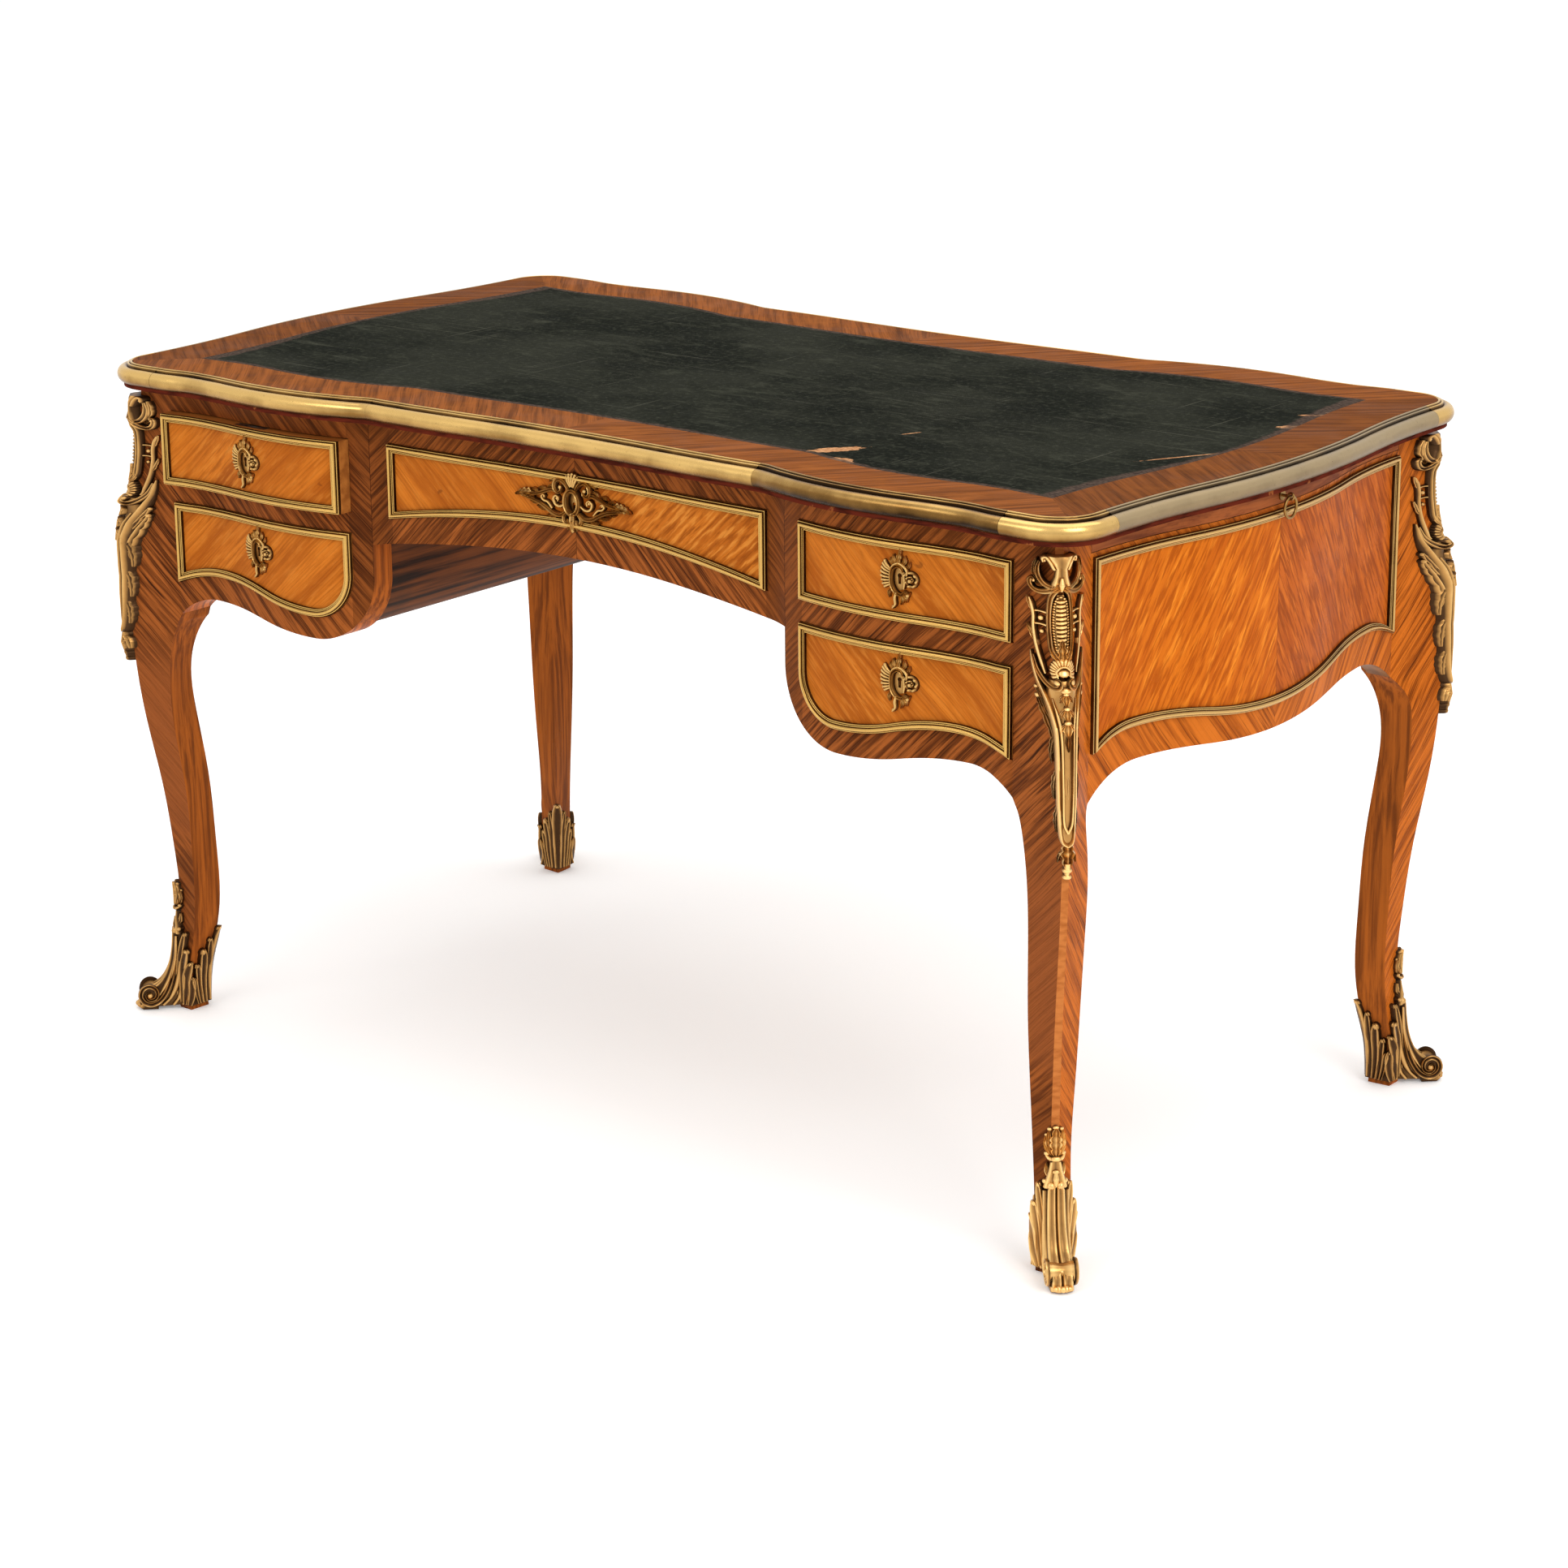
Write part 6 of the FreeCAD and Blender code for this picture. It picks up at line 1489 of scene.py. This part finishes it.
def small_escutcheon(place):
    """Leaning cartouche of a pedestal drawer: shell on the left, curled flower on the right."""
    m = Casting(place, -0.4)
    keyhole_plate(m, 3, 6.2, 11.5)
    # Surround.
    m.strip([(4.6, 7), (2.6, 11.6), (-2.6, 12.6), (-7.6, 8.4), (-9, 0), (-7.4, -8.6), (-2.4, -14.4),
             (3.4, -15.6), (6.4, -12.6)],
            [2.4, 3.4, 3.8, 3.8, 3.6, 3.6, 3.8, 3.6, 2.4], [3, 4, 4.4, 4.4, 4, 4, 4, 4, 3], GROOVED, 1.4)
    m.strip([(-10.4, 8), (-6, 13.4), (0, 15.4), (6, 12.6), (9.4, 8), (9, 4)],
            [2, 3.4, 3.6, 3.4, 3, 2], 3.6, ROUND, 1.2)
    m.strip([(5.6, 4), (6.4, -3), (5.4, -9.6)], [2, 3, 2], 3, ROUND, 1.2)
    # Shell.
    for n in range(8):
        angle = math.radians(124 + n * 16)
        cos, sin = math.cos(angle), math.sin(angle)
        tip = (-12 + 9.4 * cos, 3 + 15.5 * sin)
        m.strip([(-9 + 2 * cos, 1 + 9 * sin), (-11 + 6 * cos, 2 + 12.5 * sin), tip],
                [1.6, 3.4, 3.6], [2, 3.6, 3], ROUND, 0.8)
        m.bead(*tip, 1.9, 1.4)
    # Curled flower.
    spiral = []
    for n in range(22):
        angle = math.radians(150 - n * 27)
        r = 8.6 - n * 0.31
        spiral.append((13 + r * math.cos(angle), -0.5 + r * math.sin(angle)))
    m.strip(spiral, [3.4, 4, 3.6, 2.6, 1.6], [3.4, 4.4, 4.6, 4.4, 4], ROUND, 1, flutes=11, spacing=0.6)
    m.bead(13, -0.5, 2.2, 4)
    # Crest.
    m.leaf([(-1, 14), (0, 22), (1.6, 30.5)], [4, 6.4, 1.6], 3.6, 1.6, 3)
    m.leaf([(-3, 14), (-6, 19), (-6.4, 24)], [3, 5, 1.2], 3.2, 1.4)
    m.leaf([(-6, 12), (-10, 16.5), (-9.6, 20.5)], [2.4, 4, 1], 3, 1.2)
    m.leaf([(3, 14), (6.6, 18), (6, 23.6)], [3, 5, 1.2], 3.2, 1.4)
    m.leaf([(6, 11), (10.6, 13.4), (12, 18)], [2.4, 4, 1], 3, 1.2)
    m.bead(1.2, 29.5, 1.9, 2)
    # Lower leaves.
    m.strip([(-3, -14), (-5, -20), (-4.2, -26), (-7.4, -30)], [3, 4, 3.4, 2.4], 3.6, ROUND, 1)
    m.bead(-7, -29, 2, 1.6)
    m.leaf([(2, -15), (4, -20), (2, -26)], [3, 5, 1], 3, 1.2)
    m.leaf([(5, -12), (9.6, -14.6), (12.4, -12)], [3, 5, 1.4], 3.2, 1.2)
    m.leaf([(4, -14), (8, -19), (8.4, -23)], [2.4, 4.4, 1], 3, 1.2)
    m.bead(9.4, -16, 2.2, 1.8)
    m.leaf([(-8, -10), (-12, -15), (-11, -20)], [2.4, 4.4, 1], 3, 1)
    return m.shape()


def large_escutcheon(place):
    """Winged and pierced mount round the centre keyhole."""
    m = Casting(place, -0.4)
    keyhole_plate(m, -2.5, 6.4, 9.6)
    ring = [(9.4 * math.cos(a), 12.6 * math.sin(a)) for a in np.linspace(0, 2 * math.pi, 14, endpoint=False)]
    m.strip(ring, 5, 5, GROOVED, 3, loop=True)
    # Crest shell and its scrolls.
    for angle in (-50, -25, 0, 25, 50):
        sin, cos = math.sin(math.radians(angle)), math.cos(math.radians(angle))
        tip = (10 * sin, 21 + 9.4 * cos)
        m.strip([(3 * sin, 15 + 2 * cos), (7 * sin, 19 + 6 * cos), tip], [2, 4, 3], [3, 4.4, 3], ROUND, 3.4)
        m.bead(*tip, 2, 4)
    m.strip([(-5, 14), (-10, 20), (-17, 23), (-23, 20), (-24.6, 13), (-20, 8.6), (-15.6, 11), (-16.4, 15.4)],
            [3, 4.4, 4.6, 4.6, 4.4, 4, 3.4, 2.4], [4, 4.6, 4.6, 4.4, 4.2, 4, 4, 3], GROOVED, 2.6, pair=True)
    m.bead(-17, 14.4, 2.5, 4, True)
    m.leaf([(-19, 20), (-27, 22), (-33, 18)], [4, 6.4, 1.4], 3.4, 1.6, 2, True)
    m.leaf([(-23, 12), (-31, 13.4), (-37, 9)], [4, 6.4, 1.4], 3.2, 1.6, 2, True)
    # Wing: two strands that close on a lobed leaf, with scrolls between them.
    m.strip([(-9, -11), (-17, -15.4), (-27, -14.4), (-37, -9.4), (-48, -5), (-60, -2.4), (-70, -1)],
            [4, 4.8, 4.8, 4.6, 4.2, 3.6, 2.4], [4, 4.8, 4.6, 4.4, 4.2, 4, 3], GROOVED, 2.2, pair=True)
    m.strip([(-20, 9), (-29, 10.4), (-38, 7.6), (-47, 4.4), (-57, 2.6), (-66, 1.6)],
            [3, 4.4, 4.4, 4, 3.4, 2.2], [4, 4.6, 4.4, 4.2, 4, 3], GROOVED, 2.2, pair=True)
    m.strip([(-10, -2), (-17, -6), (-24, -5), (-27, 0.6), (-23.6, 4.6), (-19.6, 2.4), (-20.6, -1)],
            [3, 4, 4, 3.6, 3.2, 2.6, 2], 3.8, ROUND, 2, pair=True)
    m.strip([(-29, -10), (-35, -4), (-41, -2.6), (-44, 0.8), (-41.4, 3.4), (-38.6, 1.6)],
            [3, 3.6, 3.4, 3, 2.6, 2], 3.6, ROUND, 1.8, pair=True)
    m.bead(-22.4, 1.6, 2.1, 3, True).bead(-40.6, 1.4, 1.9, 2.6, True)
    m.leaf([(-54, 0), (-63, 2.4), (-72, 1.6), (-81, -1)], [6, 12, 9, 2], 3.6, 1.8, 5, True)
    m.leaf([(-21, -14), (-29, -18.6), (-37, -17.4)], [4, 6, 1.4], 3.4, 1.4, 2, True)
    m.leaf([(-35, -10), (-43, -12.4), (-51, -9.4)], [3, 5.4, 1.2], 3.2, 1.4, 2, True)
    m.leaf([(-36, 8), (-43, 10.6), (-50, 8.6)], [3, 5.4, 1.2], 3.2, 1.4, 2, True)
    m.leaf([(-47, -4), (-54, -7), (-60, -5.4)], [3, 5, 1.2], 3, 1.4, 2, True)
    m.leaf([(-48, 4), (-54, 7.4), (-60, 7)], [3, 5, 1.2], 3, 1.4, 2, True)
    # Pendant.
    m.strip([(-7, -11), (-12, -16), (-11, -22), (-6.4, -22), (-6, -18)],
            [3, 4, 4, 3.4, 2.4], 4, GROOVED, 2.4, pair=True)
    m.strip([(0, -12), (0, -19), (0, -25)], [6, 7.4, 5], [4, 5, 4], GROOVED, 3)
    m.leaf([(0, -20), (0, -26), (0, -32)], [4, 7, 1.6], 4, 4.6, 2)
    m.bead(0, -30, 2.6, 5)
    m.leaf([(-3, -22), (-6, -26), (-6, -30)], [2.4, 4, 1], 3.4, 3.4, pair=True)
    return m.shape()


CAST_SHARP = 50
CORNERS = {"front_right": (), "front_left": (0,), "back_right": (1,), "back_left": (0, 1)}
for name, node, shape in (
        ("corner_mount", "corner_mounts", corner_mount()), ("sabot", "sabots", foot_mount())):
    for corner, axes in CORNERS.items():
        piece = make_piece(name + "_" + corner, turned(shape, axes), gilt_bronze, CAST_SHARP)
        give(piece, "desk", "gilt_brass", node)

KEY_LEVELS = {"centre": 699.5, "upper": 691, "lower": 586}
PEDESTAL_MIDDLE = (PEDESTAL_NEAR + PEDESTAL_FAR) / 2


def round_keyhole(drawer):
    """Where work round a drawer's keyhole lies, by how far it is across, up and out from it."""
    row = drawer.split("_")[0]
    middle = 0 if row == "centre" else -PEDESTAL_MIDDLE if "left" in drawer else PEDESTAL_MIDDLE
    ajar = AJAR if drawer == OPEN_DRAWER else 0

    def place(across, up, out):
        x, y, z = on_front(middle + across, KEY_LEVELS[row] + up, out)
        return (x, y + ajar, z)
    return place


for drawer in DRAWERS:
    escutcheon = large_escutcheon if drawer == "centre_drawer" else small_escutcheon
    piece = make_piece(drawer + "_escutcheon", escutcheon(round_keyhole(drawer)), aged_bronze, CAST_SHARP)
    give(piece, drawer, "gilt_brass", drawer + "_mounts")

# Studio: pale floor, broad soft lights and the camera of the photograph.
FAR = 30
floor_mesh = bpy.data.meshes.new("studio_floor")
floor_mesh.from_pydata([(-FAR, -FAR, 0), (FAR, -FAR, 0), (FAR, FAR, 0), (-FAR, FAR, 0)], [], [(0, 1, 2, 3)])
floor = placed("studio_floor", floor_mesh)
ground = Finish("studio_floor")
ground_tone = ground.noise(ground.place, 0.8, 2)
floor_mesh.materials.append(ground.surface(
    Base_Color=ground.mix(ground.span(ground_tone, 0.3, 0.7), shade(250, 250, 250), shade(252, 252, 252)),
    Roughness=0.9, Specular_IOR_Level=0.1, Emission_Color=(1, 1, 1, 1), Emission_Strength=0.2))


def soft_light(name, place, target, width, height, power):
    """A broad lamp at a place, turned to a target, in metres and watts."""
    lamp = bpy.data.lights.new(name, "AREA")
    lamp.shape = "RECTANGLE"
    lamp.size = width
    lamp.size_y = height
    lamp.energy = power
    made = placed(name, lamp)
    made.location = place
    made.rotation_euler = (Vector(target) - Vector(place)).to_track_quat("-Z", "Y").to_euler()


soft_light("key_light", (3.8, -1.5, 3.2), (0.2, 0, 0.5), 2.2, 2.2, 68)
soft_light("front_light", (-0.8, -4.0, 3.2), (0, 0, 0.5), 3.0, 1.6, 34)
soft_light("top_light", (0.0, 0.6, 3.6), (0, 0, 0.6), 4.0, 3.0, 40)

world = bpy.data.worlds.new("studio_air")
bpy.context.scene.world = world
world.use_nodes = True
air = world.node_tree
height = air.nodes.new("ShaderNodeSeparateXYZ")
air.links.new(air.nodes.new("ShaderNodeTexCoord").outputs["Generated"], height.inputs[0])
fade = air.nodes.new("ShaderNodeValToRGB")
air.links.new(height.outputs["Z"], fade.inputs["Fac"])
for element, (position, tone) in zip(fade.color_ramp.elements, ((0.0, 0.22), (0.6, 1.0))):
    element.position = position
    element.color = (tone, tone * 0.99, tone * 0.975, 1)
air.links.new(fade.outputs["Color"], air.nodes["Background"].inputs["Color"])
air.nodes["Background"].inputs["Strength"].default_value = 0.95
# Seen directly, in a reflection or through a piece, the air is a white backdrop.
backdrop = air.nodes.new("ShaderNodeBackground")
backdrop.inputs["Color"].default_value = (1, 1, 1, 1)
rays = air.nodes.new("ShaderNodeLightPath")
seen = rays.outputs["Is Camera Ray"]
for kind in ("Is Glossy Ray", "Is Transmission Ray"):
    either = air.nodes.new("ShaderNodeMath")
    either.operation = "MAXIMUM"
    air.links.new(seen, either.inputs[0])
    air.links.new(rays.outputs[kind], either.inputs[1])
    seen = either.outputs[0]
both = air.nodes.new("ShaderNodeMixShader")
air.links.new(seen, both.inputs["Fac"])
air.links.new(air.nodes["Background"].outputs[0], both.inputs[1])
air.links.new(backdrop.outputs[0], both.inputs[2])
air.links.new(both.outputs[0], air.nodes["World Output"].inputs["Surface"])

YAW, PITCH, ROLL = math.radians(38.87), math.radians(-17.13), math.radians(-0.47)
ahead = Vector((-math.sin(YAW) * math.cos(PITCH), math.cos(YAW) * math.cos(PITCH), math.sin(PITCH)))
level = Vector((math.cos(YAW), math.sin(YAW), 0))
upward = level.cross(ahead)
right = level * math.cos(ROLL) + upward * math.sin(ROLL)
upward = upward * math.cos(ROLL) - level * math.sin(ROLL)
CAMERA_PLACE = (2.698, -3.320, 1.631)
SENSOR, FOCAL_PIXELS, PHOTO_PIXELS = 36, 4855, 1932
lens = bpy.data.cameras.new("photo_camera")
lens.sensor_width = SENSOR
lens.lens = SENSOR * FOCAL_PIXELS / PHOTO_PIXELS
lens.clip_end = 100
camera = placed("photo_camera", lens)
rows = [(right[n], upward[n], -ahead[n], CAMERA_PLACE[n]) for n in range(3)]
camera.matrix_world = Matrix(rows + [(0, 0, 0, 1)])
bpy.context.scene.camera = camera
bpy.context.scene.view_settings.view_transform = "Standard"
